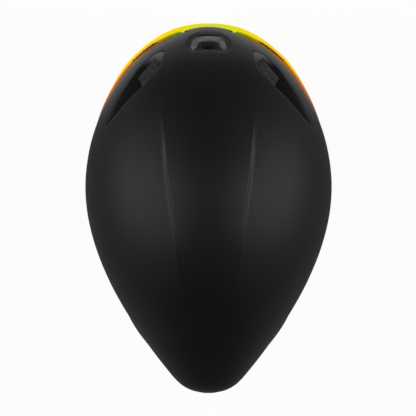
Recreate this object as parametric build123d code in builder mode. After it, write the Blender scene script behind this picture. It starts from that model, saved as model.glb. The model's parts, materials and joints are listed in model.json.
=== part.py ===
from build123d import *

import os
from math import acos, cos, pi, radians, sin, sqrt, tan

# An aero time trial helmet with a magnetic visor, built as an assembly of separate pieces.
# Millimetres. +Z is up and the front of the helmet faces -Y, so the wearer's left is +X.
# The origin is on the table that the helmet stands on, under the middle of its overall box.

# Overall sizes
overall_length = 347.0
shell_width = 232.0
shell_height = 194.0
visor_reach = 4.2  # the visor stands this far ahead of the shell's nose
shell_length = overall_length - visor_reach
half_shell = shell_width / 2
nose_y = visor_reach - overall_length / 2

# Walls and clearances
skin = 1.6  # moulded outer skin
bond_gap = 0.3  # glue line between the skin and the foam
seam_gap = 0.6  # between the two halves of the skin
fit_gap = 0.3  # between pieces that seat on each other
running_gap = 0.05  # round a pin in its bore
overrun = 6.0  # how far cutters pass what they cut

# One row for each station along the shell, from nose to tail, all as shares of the sizes
# above: place, half width, top, waist and base heights, then the raised spine's half width
# as a share of the local half width, and its height as a share of spine_height
station_shares = (
    (0.0004, 0.034, 0.395, 0.371, 0.349, 0.45, 0.00),
    (0.0015, 0.065, 0.418, 0.371, 0.327, 0.45, 0.00),
    (0.006, 0.130, 0.464, 0.371, 0.283, 0.45, 0.00),
    (0.026, 0.275, 0.562, 0.372, 0.190, 0.45, 0.00),
    (0.060, 0.462, 0.655, 0.374, 0.090, 0.45, 0.00),
    (0.110, 0.630, 0.752, 0.376, -0.026, 0.47, 0.00),
    (0.190, 0.798, 0.856, 0.378, -0.155, 0.47, 0.00),
    (0.290, 0.929, 0.936, 0.376, -0.247, 0.378, 0.40),
    (0.400, 0.992, 0.987, 0.373, -0.300, 0.325, 0.95),
    (0.500, 0.984, 1.000, 0.372, -0.289, 0.288, 1.00),
    (0.600, 0.915, 0.982, 0.378, -0.180, 0.264, 0.80),
    (0.700, 0.794, 0.928, 0.392, 0.000, 0.251, 0.40),
    (0.790, 0.644, 0.848, 0.412, 0.186, 0.252, 0.05),
    (0.870, 0.483, 0.753, 0.434, 0.300, 0.25, 0.00),
    (0.935, 0.334, 0.660, 0.452, 0.361, 0.25, 0.00),
    (0.975, 0.225, 0.590, 0.465, 0.407, 0.25, 0.00),
    (0.992, 0.134, 0.546, 0.472, 0.436, 0.25, 0.00),
    (0.9985, 0.050, 0.505, 0.474, 0.461, 0.25, 0.00),
)
fullness_share = 0.58  # handle length of the section curves; 0.55 is an ellipse
spine_height = 2.4
spine_wall = 4.0  # width of the hollow that leads up to the crease

# The shell's lower edge seen from the side: place along the helmet, height above the table
brow_height = 79.0
temple_y = -76.0
temple_height = 54.0
ear_front_y = -58.0
ear_rear_y = 50.0
nape_y = 88.0
nape_height = 44.0
tail_under_y = 132.0
tail_under_height = 56.0
edge_radii = (26.0, 12.0, 30.0, 30.0, 50.0)
brow_slope = (brow_height - temple_height) / (temple_y - nose_y)
tongue_half_width = 22.5  # at the nose the shell laps down over the visor
tongue_drop = 4.0

# The arch over the neck, seen from behind
neck_half_width = 70.0
neck_height = 66.0
neck_front_y = -10.0

# The joint line between the upper and the lower skin, as places and heights
parting_line = ((-130.0, 50.0), (-50.0, 62.0), (60.0, 74.0), (120.0, 86.0))
parting_tail_height = 92.0

# The space for the head: a dome over upright walls
head_half_width = 80.0
head_half_length = 98.0
head_top_height = 157.0
head_centre_y = -40.0
head_centre_height = 72.0
head_station_degrees = (-87, -76, -62, -45, -25, 0, 25, 45, 62, 76, 87)
circle_share = 0.5523
lining_lap = 1.5  # the foam shows this far inside the skin's lower edge

# Air channels in the dome, and the two ducts that leave under the tail
channel_width = 10.0
channel_depth = 8.0
channel_spacing = 28.0
channel_front_y = -126.0
channel_rear_y = 36.0
exhaust_radius = 9.0
exhaust_x = 22.0
exhaust_start = (40.0, 122.0)
exhaust_end = (140.0, 58.0)

# Side vents, from front tip to rear tip: place along the shell, inner and outer edge as
# shares of the half width, and how deep the scoop is as a share of its full depth
vent_shares = (
    (0.0710, 0.3530, 0.3720, 0.04),
    (0.0780, 0.3600, 0.4270, 0.35),
    (0.0910, 0.3700, 0.4750, 0.75),
    (0.1205, 0.3970, 0.5612, 1.00),
    (0.1470, 0.4740, 0.6140, 1.00),
    (0.1700, 0.5340, 0.6590, 0.90),
    (0.2033, 0.6336, 0.7180, 0.65),
    (0.2400, 0.7270, 0.7740, 0.35),
    (0.2710, 0.8080, 0.8200, 0.05),
)
vent_duct_row = 5  # of the table above
vent_duct_rows = (3, 7)  # the two rows that give the passage its lean
vent_reach = 12.0  # how far the scoop runs in under the skin
vent_mouth = 9.0
vent_duct_length = 34.0
vent_duct_width = 9.0
vent_duct_run = 36.0
vent_duct_heading = (-0.46, 0.46, -0.76)
scoop_wall = 1.4
scoop_lip = 0.4  # the scoop's edge lies this far below the skin's surface

# Centre intake above the brow, in plan
intake_half_width = 21.0
intake_front_y = -164.2
intake_shoulder_y = -149.0
intake_rear_y = -143.6
intake_rear_half_width = 17.5
intake_mouth_half_width = 16.5
intake_mouth_front_y = -159.6
intake_mouth_rear_half_width = 14.0
intake_rear_rim = 2.2
intake_corner = 2.5
intake_recess = 0.9
intake_flange = 1.6
intake_collar_wall = 1.2
collar_foot = 8.0  # the collar's depth below the shell's surface
intake_duct_width = 27.0
intake_duct_height = 13.0
intake_duct_start = (-158.0, 121.0)
intake_duct_heading = (0, 0.86, -0.51)
intake_duct_run = 44.0

# Visor: two plan curves as shares of the shell's half width and length, the shell's own
# brow line and the visor's fullest line, and how far the visor goes from one to the other
# at each drop below the brow edge, as shares of the brow height
visor_wall = 2.0
visor_gap = 0.8  # between the visor and the shell's edge
brow_plan_shares = ((0, 0), (0.310, 0), (0.811, 0.1196), (0.944, 0.3188))
visor_plan_shares = ((0, 0), (0.448, 0), (0.816, 0.1196), (0.950, 0.3188))
visor_inset_shares = ((0, 1), (-0.25, 1), (-0.85, 0.55), (-1, 0))
visor_drop_shares = (
    (-0.06, -0.35),
    (0.00, 0.02),
    (0.03, 0.30),
    (0.075, 0.62),
    (0.15, 0.86),
    (0.25, 0.97),
    (0.36, 1.00),
    (0.53, 0.75),
    (0.73, 0.05),
    (0.94, -1.20),
    (1.06, -1.70),
)
visor_rear_y = -58.0
visor_lower_edge = ((-148.0, 7.0), (-118.0, 3.5), (-84.0, 7.0), (-64.0, 28.0))
visor_nose_edge_height = 17.0
visor_edge_radii = (60.0, 90.0, 40.0, 12.0)
nose_cut_half_width = 26.0
nose_cut_height = 24.0
nose_cut_centre_height = 4.0
nose_cut_depth = 50.0
visor_slot_centre = (57.4, -148.8)
visor_slot_drop = 5.2
visor_slot_length = 29.0
visor_slot_width = 2.8
visor_slot_heading = (0.52, -0.66, 0.54)
visor_slot_along = (0.79, 0.61, 0)
seal_thickness = 2.4
seal_height = 4.5
seal_edge = 0.5  # the seal stops this far below the visor's edge
seal_rear_y = -122.0

# Magnets that hold the visor: one at the nose, one at each temple
magnet_radius = 4.0
magnet_thickness = 2.0
magnet_gap = 0.6
magnet_chamfer = 0.3
nose_magnet_y = -160.5
temple_magnet = (76.0, -112.0)
carrier_length = 19.0
carrier_depth = 17.0
carrier_thickness = 4.0
carrier_corner = 3.0

# Comfort pads on the dome and the walls
pad_thickness = 6.0
brow_pad_size = (118.0, 19.0)
brow_pad_height = 93.0
brow_pad_corner = 9.0
crown_pad_size = (92.0, 14.0)
crown_pad_x = 14.0
crown_pad_y = -40.0
side_pad_size = (74.0, 22.0)
side_pad_y = -42.0
side_pad_height = 112.0
side_pad_corner = 10.5
ear_pad_size = (62.0, 34.0)
ear_pad_y = -32.0
ear_pad_height = 21.0
ear_pad_corner = 14.0

# Fit cradle: temple anchors, flexible bands, housing, racks, pinion and dial
anchor_y = -62.0
anchor_height = 70.0
anchor_radius = 8.0
anchor_pin_radius = 2.0
anchor_cap_radius = 3.6
anchor_cap_thickness = 1.2
band_inset = 9.0
band_thickness = 1.5
band_width = 12.0
band_eye_radius = 7.5
band_rear_y = 26.0
cradle_height = 40.0
channel_front = 34.0  # the rack channel's front face
rack_thickness = 3.0
rack_play = 0.1
front_plate_thickness = 2.5
back_plate_thickness = 2.0
housing_corner = 5.0
housing_rim = 1.6
housing_edge = 1.0
gear_module = 0.7
pinion_teeth = 12
pressure_angle = 20.0
pinion_addendum_share = 0.8
rack_addendum_share = 0.6
root_clearance = 0.15
backlash = 0.25
rack_bar = 3.4
rack_travel = 8.8
rack_inner_end = 13.5
rack_nose = 2.2
rack_end = 38.0
rack_tab_width = 4.0
dial_radius = 12.0
dial_depth = 10.5
dial_flutes = 14
dial_flute_radius = 1.6
dial_fillet = 1.5
shaft_radius = 2.0
screw_radius = 1.0
screw_head_radius = 1.7
screw_head_depth = 1.0
screw_length = 8.0
nape_pad_size = (17.0, 5.0, 19.0)
nape_pad_x = 13.0
nape_pad_fillet = 2.0
ladder_width = 14.0
ladder_thickness = 1.8
ladder_y = 54.0
ladder_bend_height = 60.0
ladder_top_height = 84.0
ladder_rungs = 3
ladder_rung_size = (7.0, 2.4)
ladder_rung_spacing = 5.0
clip_width = 24.0
clip_height = 10.0
clip_centre_height = 72.0
clip_lip = 2.0
clip_play = 0.7

# Straps, as webbing routes on the left side with the way the webbing faces at each point
strap_width = 15.0
strap_thickness = 1.2
plug_radius = 8.0
plug_depth = 4.0
front_plug = (-88.0, 70.0)
rear_plug = (16.0, 58.0)
front_strap_route = (
    ((68.4, -87.6, 69.0), (0.91, -0.41, 0)),
    ((70.4, -79.0, 57.0), (0.93, -0.36, 0)),
    ((70.6, -67.0, 46.0), (0.98, -0.20, 0)),
    ((67.0, -53.0, 40.5), (1, 0, 0)),
    ((62.6, -41.5, 37.0), (1, 0, 0)),
    ((61.0, -35.2, 32.0), (1, 0, 0)),
    ((61.0, -35.2, 26.9), (1, 0, 0)),
)
rear_strap_route = (
    ((64.2, 14.5, 56.0), (0.86, 0.51, 0)),
    ((67.6, 6.0, 47.0), (0.95, 0.31, 0)),
    ((68.0, -2.5, 39.5), (1, 0.1, 0)),
    ((64.0, -12.5, 35.0), (1, 0, 0)),
    ((61.0, -18.8, 31.5), (1, 0, 0)),
    ((61.0, -18.8, 26.9), (1, 0, 0)),
)
chin_strap_route = (
    ((61.0, -27.0, 6.2), (1, 0, 0)),
    ((59.9, -27.0, 4.0), (0.85, 0, 0.53)),
    ((57.0, -27.0, 2.6), (0.35, 0, 0.94)),
    ((50.0, -27.0, 2.2), (0, 0, 1)),
    ((40.0, -27.0, 2.5), (-0.1, 0, 0.99)),
    ((34.0, -27.0, 4.6), (-0.2, 0, 0.98)),
    ((30.2, -27.0, 6.0), (0, 0, 1)),
    ((26.0, -27.0, 6.0), (0, 0, 1)),
)
divider_centre = (61.0, -27.0, 16.5)
divider_size = (4.0, 30.0, 20.0)
divider_corner = 5.0
divider_window = (20.0, 8.5)
divider_window_drop = 2.4
divider_ear = (3.2, 2.6, 4.4)
lever_length = 13.0
lever_width = 17.0
lever_thickness = 1.6
lever_hinge_radius = 1.7
lever_pin_radius = 0.9
lever_hinge_height = 23.0
buckle_y = -27.0
buckle_height = 6.0
buckle_width = 22.0
buckle_thickness = 9.0
buckle_length = 28.0
buckle_split = 2.0
buckle_corner = 3.0
buckle_fillet = 1.5
buckle_mouth_width = 17.0
buckle_mouth_height = 5.6
buckle_mouth_depth = 17.0
prong_length = 16.0
prong_width = 3.4
prong_height = 4.6
prong_play = 0.4
release_size = (9.0, 12.0)
release_depth = 1.0
strap_socket_depth = 5.0
chin_pad_size = (17.0, 20.0, 3.6)
chin_pad_centre = (48.6, -27.0, 5.3)
chin_pad_fillet = 1.5
chin_pad_corner = 4.0

os.makedirs("parts", exist_ok=True)


def finish(piece, name):
    """Label a piece and write it to its own file."""
    piece.part.label = name
    export_step(piece.part, f"parts/{name}.step")


def finish_pair(piece, name):
    """Write a left-hand piece, and its mirror image for the right."""
    with BuildPart() as twin:
        mirror(piece.part, about=Plane.YZ)
    finish(piece, f"{name}_left")
    finish(twin, f"{name}_right")


def across(y):
    """A plane that cuts the helmet square to its length, with X and Z as its own axes."""
    return Plane(origin=(0, y, 0), x_dir=(1, 0, 0), z_dir=(0, -1, 0))


# Body form: a teardrop lofted through its stations


def station_row(share):
    """The table's values at any share along the shell, by a smooth curve through the rows."""
    rows = station_shares
    last = len(rows) - 1
    i = min(max(sum(row[0] <= share for row in rows) - 1, 0), last - 1)
    before, low, high, after = rows[max(i - 1, 0)], rows[i], rows[i + 1], rows[min(i + 2, last)]
    span = high[0] - low[0]
    t = (share - low[0]) / span
    values = []
    for a, b, c, d in zip(before[1:], low[1:], high[1:], after[1:]):
        slope_low = (c - a) / (high[0] - before[0]) * span
        slope_high = (d - b) / (after[0] - low[0]) * span
        values.append(
            b * (1 + 2 * t) * (1 - t) ** 2
            + slope_low * t * (1 - t) ** 2
            + c * t * t * (3 - 2 * t)
            + slope_high * t * t * (t - 1)
        )
    return values


def section_sizes(share, inset=0):
    """Half width, top, waist and base heights, spine half width and height at a share."""
    width, top, waist, base, spine, rise = station_row(share)
    return (
        width * half_shell - inset,
        top * shell_height - inset,
        waist * shell_height,
        base * shell_height + inset,
        spine * width * half_shell,
        rise * spine_height,
    )


def quarter(half_width, waist, end, share=fullness_share):
    """Bezier points of a section's quarter, from the centre line out to the waist."""
    reach = share * (end - waist)
    return [(0, end), (share * half_width, end), (half_width, waist + reach), (half_width, waist)]


def bezier_split(points, t):
    """The two halves of a Bezier curve cut at t, by de Casteljau's construction."""
    left, right = [points[0]], [points[-1]]
    while len(points) > 1:
        points = [
            (a[0] * (1 - t) + b[0] * t, a[1] * (1 - t) + b[1] * t)
            for a, b in zip(points, points[1:])
        ]
        left.append(points[0])
        right.append(points[-1])
    return left, right[::-1]


def share_at_x(points, x):
    """Where along a quarter curve its x reaches a value, by halving the interval."""
    low, high = 0.0, 1.0
    for _ in range(40):
        middle = (low + high) / 2
        if bezier_split(points, middle)[0][-1][0] < x:
            low = middle
        else:
            high = middle
    return (low + high) / 2


def surface_height(x, y, inset=0):
    """Height of the shell's upper surface over a point of the plan, without the spine."""
    half_width, top, waist, _, _, _ = section_sizes((y - nose_y) / shell_length, inset)
    points = quarter(half_width, waist, top)
    return bezier_split(points, share_at_x(points, min(abs(x), half_width)))[0][-1][1]


def mirrored(points):
    return [(-x, z) for x, z in reversed(points)]


def body(inset, with_spine=False):
    """The helmet's closed teardrop, drawn in by an inset."""
    with BuildPart() as teardrop:
        for row in station_shares:
            half_width, top, waist, base, spine, rise = section_sizes(row[0], inset)
            if min(half_width, top - waist, waist - base) < skin:
                continue
            upper = quarter(half_width, waist, top)
            lower = quarter(half_width, waist, base)[::-1]
            curves = [upper, lower]
            if with_spine:
                crease = share_at_x(upper, spine)
                foot = share_at_x(upper, min(spine + spine_wall, (spine + half_width) / 2))
                ridge = [(x, z + rise) for x, z in bezier_split(upper, crease)[0]]
                flank = bezier_split(upper, foot)[1]
                run = (flank[1][0] - flank[0][0], flank[1][1] - flank[0][1])
                back = (ridge[-1][0] - flank[0][0]) / run[0] / 2
                hollow = (flank[0][0] + back * run[0], flank[0][1] + back * run[1])
                curves = [ridge, [ridge[-1], hollow, flank[0]], flank, lower]
            with BuildSketch(across(nose_y + row[0] * shell_length)):
                with BuildLine():
                    for curve in curves:
                        Bezier(*curve)
                    for curve in curves:
                        Bezier(*mirrored(curve))
                make_face()
        loft()
    return teardrop.part


def lower_edge_region(grow=0):
    """Everything under the helmet's lower edge: the side view drawn across, and the neck."""
    with BuildPart() as region:
        with BuildSketch(Plane.YZ):
            with BuildLine():
                edge = FilletPolyline(
                    (nose_y - shell_length, brow_height + brow_slope * shell_length),
                    (temple_y, temple_height),
                    (ear_front_y, 0),
                    (ear_rear_y, 0),
                    (nape_y, nape_height),
                    (tail_under_y, tail_under_height),
                    (shell_length, tail_under_height),
                    radius=edge_radii,
                )
                Polyline(
                    edge @ 1,
                    (shell_length, -shell_length),
                    (nose_y - shell_length, -shell_length),
                    edge @ 0,
                )
            make_face()
            if grow:
                offset(amount=grow)
        extrude(amount=shell_width, both=True)
        with BuildSketch(Plane.XY.offset(brow_height - tongue_drop + grow)):
            with Locations((0, nose_y)):
                Rectangle(2 * (tongue_half_width - grow), shell_length / 4)
        extrude(amount=shell_height, mode=Mode.SUBTRACT)
        with BuildSketch(across(neck_front_y - grow)):
            Ellipse(neck_half_width + grow, neck_height + grow)
        extrude(amount=-shell_length)
    return region.part


def head_space(inset=0):
    """The hollow for the head, drawn in by an inset."""
    with BuildPart() as space:
        for turn in head_station_degrees:
            along, share = sin(radians(turn)), cos(radians(turn))
            half_width = (head_half_width - inset) * share
            top = head_centre_height + (head_top_height - head_centre_height - inset) * share
            dome = quarter(half_width, head_centre_height, top, circle_share)
            with BuildSketch(across(head_centre_y + (head_half_length - inset) * along)):
                with BuildLine():
                    Bezier(*dome)
                    Bezier(*mirrored(dome))
                    Polyline(
                        (half_width, head_centre_height),
                        (half_width, -overrun),
                        (-half_width, -overrun),
                        (-half_width, head_centre_height),
                    )
                make_face()
        loft()
    return space.part


def below_parting(shift):
    """Everything under the line where the two halves of the skin meet."""
    with BuildPart() as lower:
        with BuildSketch(Plane.YZ):
            with BuildLine():
                Polyline(
                    (nose_y - overrun, parting_line[0][1] + shift),
                    *[(y, z + shift) for y, z in parting_line],
                    (overall_length, parting_tail_height + shift),
                    (overall_length, -shell_height),
                    (nose_y - overrun, -shell_height),
                    close=True,
                )
            make_face()
        extrude(amount=shell_width, both=True)
    return lower.part


# Vents


def vent_points(row):
    """A side vent's corners at one row: its place, edges, and the scoop's deep inner end."""
    along, inner, outer, depth = row
    y = nose_y + along * shell_length
    inner_x, outer_x = inner * half_shell, outer * half_shell
    deep_x = inner_x - vent_reach * depth
    roof = surface_height(deep_x, y, skin + bond_gap)
    floor = roof - scoop_lip - vent_mouth * depth
    return y, inner_x, outer_x, deep_x, roof, floor


def vent_outline():
    """A side vent's plan as a closed ring of points."""
    rows = [vent_points(row) for row in vent_shares]
    inner_edge = [(row[1], row[0]) for row in rows]
    outer_edge = [(row[2], row[0]) for row in rows]
    return inner_edge + outer_edge[::-1]


def vent_pocket():
    """The space a side vent takes from the foam, with room for its scoop."""
    with BuildPart() as pocket:
        for row in vent_shares:
            y, _, outer_x, deep_x, roof, floor = vent_points(row)
            lip = surface_height(outer_x, y, scoop_lip)
            slope = (floor - lip) / (outer_x - fit_gap - deep_x)
            drop = scoop_wall + fit_gap
            with BuildSketch(across(y)):
                Polygon(
                    (outer_x + fit_gap, lip + overrun),
                    (deep_x - fit_gap, roof + overrun),
                    (deep_x - fit_gap, floor - drop + slope * fit_gap),
                    (outer_x + fit_gap, lip - drop - 2 * slope * fit_gap),
                    align=None,
                )
        loft(ruled=True)
    return pocket.part


def vent_duct():
    """The passage from the back of a scoop to the head space."""
    y, _, _, deep_x, roof, floor = vent_points(vent_shares[vent_duct_row])
    ahead, behind = (vent_points(vent_shares[row]) for row in vent_duct_rows)
    along = (behind[3] - ahead[3], behind[0] - ahead[0], behind[5] - ahead[5])
    with BuildPart() as duct:
        start = Plane(origin=(deep_x, y, (roof + floor) / 2), x_dir=along, z_dir=vent_duct_heading)
        with BuildSketch(start.offset(-overrun)):
            SlotOverall(vent_duct_length, vent_duct_width)
        extrude(amount=vent_duct_run + overrun)
    return duct.part


def intake_plan(half_width, front_y, rear_half_width, rear_y):
    """The centre intake's plan: an arched front and a nearly straight rear."""
    with BuildSketch() as plan:
        with BuildLine():
            bow = circle_share * (intake_shoulder_y - front_y)
            Bezier(
                (half_width, intake_shoulder_y),
                (half_width, intake_shoulder_y - bow),
                (circle_share * half_width, front_y),
                (0, front_y),
            )
            Bezier(
                (0, front_y),
                (-circle_share * half_width, front_y),
                (-half_width, intake_shoulder_y - bow),
                (-half_width, intake_shoulder_y),
            )
            Polyline(
                (-half_width, intake_shoulder_y),
                (-rear_half_width, rear_y),
                (rear_half_width, rear_y),
                (half_width, intake_shoulder_y),
            )
        make_face()
        fillet(plan.vertices().group_by(Axis.Y)[-1], intake_corner)
    return plan.sketch


def column(plan, foot):
    """A plan drawn up through the shell from a height."""
    with BuildPart() as block:
        with BuildSketch(Plane.XY.offset(foot)):
            add(plan)
        extrude(amount=shell_height)
    return block.part


def sunk(plan, depth):
    """The space over a plan down to a depth below the shell's surface."""
    with BuildPart() as space:
        add(column(plan, head_centre_height))
        add(body(depth), mode=Mode.SUBTRACT)
    return space.part


def rim_plan(margin):
    return intake_plan(
        intake_half_width - margin,
        intake_front_y + margin,
        intake_rear_half_width - margin,
        intake_rear_y - margin,
    )


def mouth_plan(margin):
    return intake_plan(
        intake_mouth_half_width + margin,
        intake_mouth_front_y - margin,
        intake_mouth_rear_half_width + margin,
        intake_rear_y - intake_rear_rim + margin,
    )


def intake_duct():
    """The passage from the centre intake to the head space."""
    with BuildPart() as duct:
        start = Plane(origin=(0, *intake_duct_start), x_dir=(1, 0, 0), z_dir=intake_duct_heading)
        with BuildSketch(start):
            SlotOverall(intake_duct_width, intake_duct_height)
        extrude(amount=intake_duct_run)
    return duct.part


def exhaust_duct(side):
    """A round passage from the back of the dome to the underside of the tail."""
    (start_y, start_z), (end_y, end_z) = exhaust_start, exhaust_end
    run = Vector(0, end_y - start_y, end_z - start_z)
    with BuildPart() as duct:
        with BuildSketch(Plane(origin=(side * exhaust_x, start_y, start_z), z_dir=run)):
            Circle(exhaust_radius)
        extrude(amount=run.length)
    return duct.part


# Visor form


def brow_line(y):
    """Height of the shell's lower edge ahead of the temples."""
    return brow_height - brow_slope * (y - nose_y)


def visor_plan(bulge, inset):
    """Bezier points of half the visor's plan at one level, from the nose to the temple."""
    points = []
    for brow, full, draw in zip(brow_plan_shares, visor_plan_shares, visor_inset_shares):
        ahead = visor_reach if full[1] == 0 else 0
        x = (brow[0] + bulge * (full[0] - brow[0])) * half_shell + draw[0] * inset
        y = brow[1] * shell_length - bulge * ahead + draw[1] * inset
        points.append((max(x, 0), y))
    return points


def visor_form(inset):
    """The visor's solid form, lofted through levels that lie parallel to the brow edge."""
    level = Plane(origin=(0, nose_y, brow_height), x_dir=(1, 0, 0), z_dir=(0, brow_slope, 1))
    stretch = 1 / level.y_dir.Y
    with BuildPart() as form:
        for drop, bulge in visor_drop_shares:
            half = [(x, y * stretch) for x, y in visor_plan(bulge, inset)]
            end_x, end_y = half[-1]
            back_y = end_y + overrun
            here = Plane(
                origin=(0, nose_y, brow_height * (1 - drop)), x_dir=(1, 0, 0), z_dir=level.z_dir
            )
            with BuildSketch(here):
                with BuildLine():
                    Bezier(*half)
                    Bezier(*mirrored(half))
                    Polyline((end_x, end_y), (end_x, back_y), (-end_x, back_y), (-end_x, end_y))
                make_face()
        loft()
    return form.part


def visor_outline():
    """The visor's lower and rear limits, seen from the side and drawn across."""
    with BuildPart() as outline:
        with BuildSketch(Plane.YZ):
            with BuildLine():
                edge = FilletPolyline(
                    (nose_y - shell_length, visor_nose_edge_height + shell_length / 4),
                    *visor_lower_edge,
                    (visor_rear_y, shell_height),
                    radius=visor_edge_radii,
                )
                Line(edge @ 1, edge @ 0)
            make_face()
        extrude(amount=shell_width, both=True)
    return outline.part


def visor_slots():
    """The two thin vents in the visor's shoulders."""
    x, y = visor_slot_centre
    with BuildPart() as slots:
        centre = (x, y, brow_line(y) - visor_slot_drop)
        with BuildSketch(Plane(origin=centre, x_dir=visor_slot_along, z_dir=visor_slot_heading)):
            SlotOverall(visor_slot_length, visor_slot_width)
        extrude(amount=overrun, both=True)
        mirror(about=Plane.YZ)
    return slots.part


outer_form = body(0, with_spine=True)
edge_cut = lower_edge_region()
head_cut = head_space()
slots_cut = visor_slots()

# Skin: the space inside it is the foam's, less the glue line

with BuildPart() as skin_core:
    add(body(skin))
    add(lower_edge_region(skin), mode=Mode.SUBTRACT)

nose_magnet_seat = Plane(
    origin=(0, nose_magnet_y, brow_height - tongue_drop), x_dir=(1, 0, 0), z_dir=(0, 0, 1)
)
temple_x, temple_magnet_y = temple_magnet
ledge_normal = Vector(0, brow_slope, 1).normalized()
temple_magnet_seats = [
    Plane(
        origin=(side * temple_x, temple_magnet_y, brow_line(temple_magnet_y)),
        x_dir=(1, 0, 0),
        z_dir=ledge_normal,
    )
    for side in (1, -1)
]
magnet_seats = [nose_magnet_seat] + temple_magnet_seats
magnet_places = ("nose", "left", "right")

with BuildPart() as magnet_pockets:
    for seat in magnet_seats:
        with BuildSketch(seat.offset(-overrun)):
            Circle(magnet_radius + fit_gap)
        extrude(amount=overrun + magnet_thickness + fit_gap)

with BuildPart() as exhausts:
    add(exhaust_duct(1))
    add(exhaust_duct(-1))

with BuildPart() as whole_skin:
    add(outer_form)
    add(edge_cut, mode=Mode.SUBTRACT)
    add(skin_core.part, mode=Mode.SUBTRACT)
    add(head_space(-lining_lap), mode=Mode.SUBTRACT)

with BuildPart() as outer_shell:
    add(whole_skin.part)
    add(below_parting(seam_gap / 2), mode=Mode.SUBTRACT)
    add(magnet_pockets.part, mode=Mode.SUBTRACT)
    add(column(rim_plan(0), head_centre_height), mode=Mode.SUBTRACT)
    with BuildSketch(Plane.XY.offset(head_centre_height)):
        Polygon(*vent_outline(), align=None)
        mirror(about=Plane.YZ)
    extrude(amount=shell_height, mode=Mode.SUBTRACT)
finish(outer_shell, "outer_shell")

with BuildPart() as lower_shell:
    add(whole_skin.part)
    add(below_parting(-seam_gap / 2), mode=Mode.INTERSECT)
    add(exhausts.part, mode=Mode.SUBTRACT)
finish(lower_shell, "lower_shell")

# Foam liner

with BuildPart() as air_channels:
    add(head_space(-channel_depth))
    with BuildSketch(Plane.XY.offset(head_centre_height)):
        with Locations((0, (channel_front_y + channel_rear_y) / 2)):
            with GridLocations(channel_spacing, 0, 3, 1):
                Rectangle(channel_width, channel_rear_y - channel_front_y)
    extrude(amount=shell_height, mode=Mode.INTERSECT)

with BuildPart() as strap_plug_pockets:
    for y, z in (front_plug, rear_plug):
        with BuildSketch(Plane.YZ):
            with Locations((y, z)):
                Circle(plug_radius + fit_gap)
    extrude(amount=shell_width, both=True)
    add(head_space(-plug_depth - fit_gap), mode=Mode.INTERSECT)

with BuildPart() as foam_liner:
    add(body(skin + bond_gap))
    add(lower_edge_region(skin + bond_gap), mode=Mode.SUBTRACT)
    add(head_cut, mode=Mode.SUBTRACT)
    add(air_channels.part, mode=Mode.SUBTRACT)
    add(strap_plug_pockets.part, mode=Mode.SUBTRACT)
    add(exhausts.part, mode=Mode.SUBTRACT)
    add(magnet_pockets.part, mode=Mode.SUBTRACT)
    for cutter in (vent_pocket(), vent_duct()):
        add(cutter, mode=Mode.SUBTRACT)
        add(mirror(cutter, about=Plane.YZ, mode=Mode.PRIVATE), mode=Mode.SUBTRACT)
    add(sunk(rim_plan(-fit_gap), intake_recess + intake_flange + fit_gap), mode=Mode.SUBTRACT)
    add(sunk(mouth_plan(intake_collar_wall + fit_gap), collar_foot + fit_gap), mode=Mode.SUBTRACT)
    add(intake_duct(), mode=Mode.SUBTRACT)
finish(foam_liner, "foam_liner")

# Vent scoops: a ramp that starts at the vent's outer edge and dives in under the skin

with BuildPart() as vent_scoop:
    for row in vent_shares:
        y, _, outer_x, deep_x, _, floor = vent_points(row)
        lip = surface_height(outer_x, y, scoop_lip)
        with BuildSketch(across(y)):
            Polygon(
                (outer_x - fit_gap, lip),
                (deep_x, floor),
                (deep_x, floor - scoop_wall),
                (outer_x - fit_gap, lip - scoop_wall),
                align=None,
            )
    loft(ruled=True)
finish_pair(vent_scoop, "vent_scoop")

# Centre intake frame: a sunk flange in the skin and a collar down into the foam

with BuildPart() as front_vent_frame:
    add(sunk(rim_plan(fit_gap), intake_recess + intake_flange))
    add(sunk(mouth_plan(intake_collar_wall), collar_foot))
    add(body(intake_recess), mode=Mode.INTERSECT)
    add(column(mouth_plan(0), head_centre_height), mode=Mode.SUBTRACT)
finish(front_vent_frame, "front_vent_frame")

# Visor: lens, seal behind its top edge, and the carriers of its magnets


def magnet(seat, lift):
    """A disc magnet whose lower face lies this far from its seat plane."""
    with BuildPart() as disc:
        with BuildSketch(seat.offset(lift)):
            Circle(magnet_radius)
        extrude(amount=magnet_thickness)
        chamfer(disc.edges(), magnet_chamfer)
    return disc


with BuildPart() as visor_lens:
    add(visor_form(0))
    add(visor_form(visor_wall), mode=Mode.SUBTRACT)
    add(lower_edge_region(-visor_gap), mode=Mode.INTERSECT)
    add(visor_outline(), mode=Mode.INTERSECT)
    add(slots_cut, mode=Mode.SUBTRACT)
    with BuildSketch(across(nose_y - overrun)):
        with Locations((0, nose_cut_centre_height)):
            Ellipse(nose_cut_half_width, nose_cut_height)
    extrude(amount=-(nose_cut_depth + overrun), mode=Mode.SUBTRACT)
finish(visor_lens, "visor_lens")

with BuildPart() as visor_seal:
    add(visor_form(visor_wall + bond_gap))
    add(visor_form(visor_wall + bond_gap + seal_thickness), mode=Mode.SUBTRACT)
    add(lower_edge_region(-visor_gap - seal_edge), mode=Mode.INTERSECT)
    add(lower_edge_region(-visor_gap - seal_edge - seal_height), mode=Mode.SUBTRACT)
    add(slots_cut, mode=Mode.SUBTRACT)
    with BuildSketch(Plane.XY):
        with Locations((carrier_length / 2 + fit_gap, nose_y - overrun)):
            Rectangle(half_shell, seal_rear_y - nose_y + overrun, align=(Align.MIN, Align.MIN))
    extrude(amount=shell_height, mode=Mode.INTERSECT)
finish_pair(visor_seal, "visor_seal")

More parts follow.
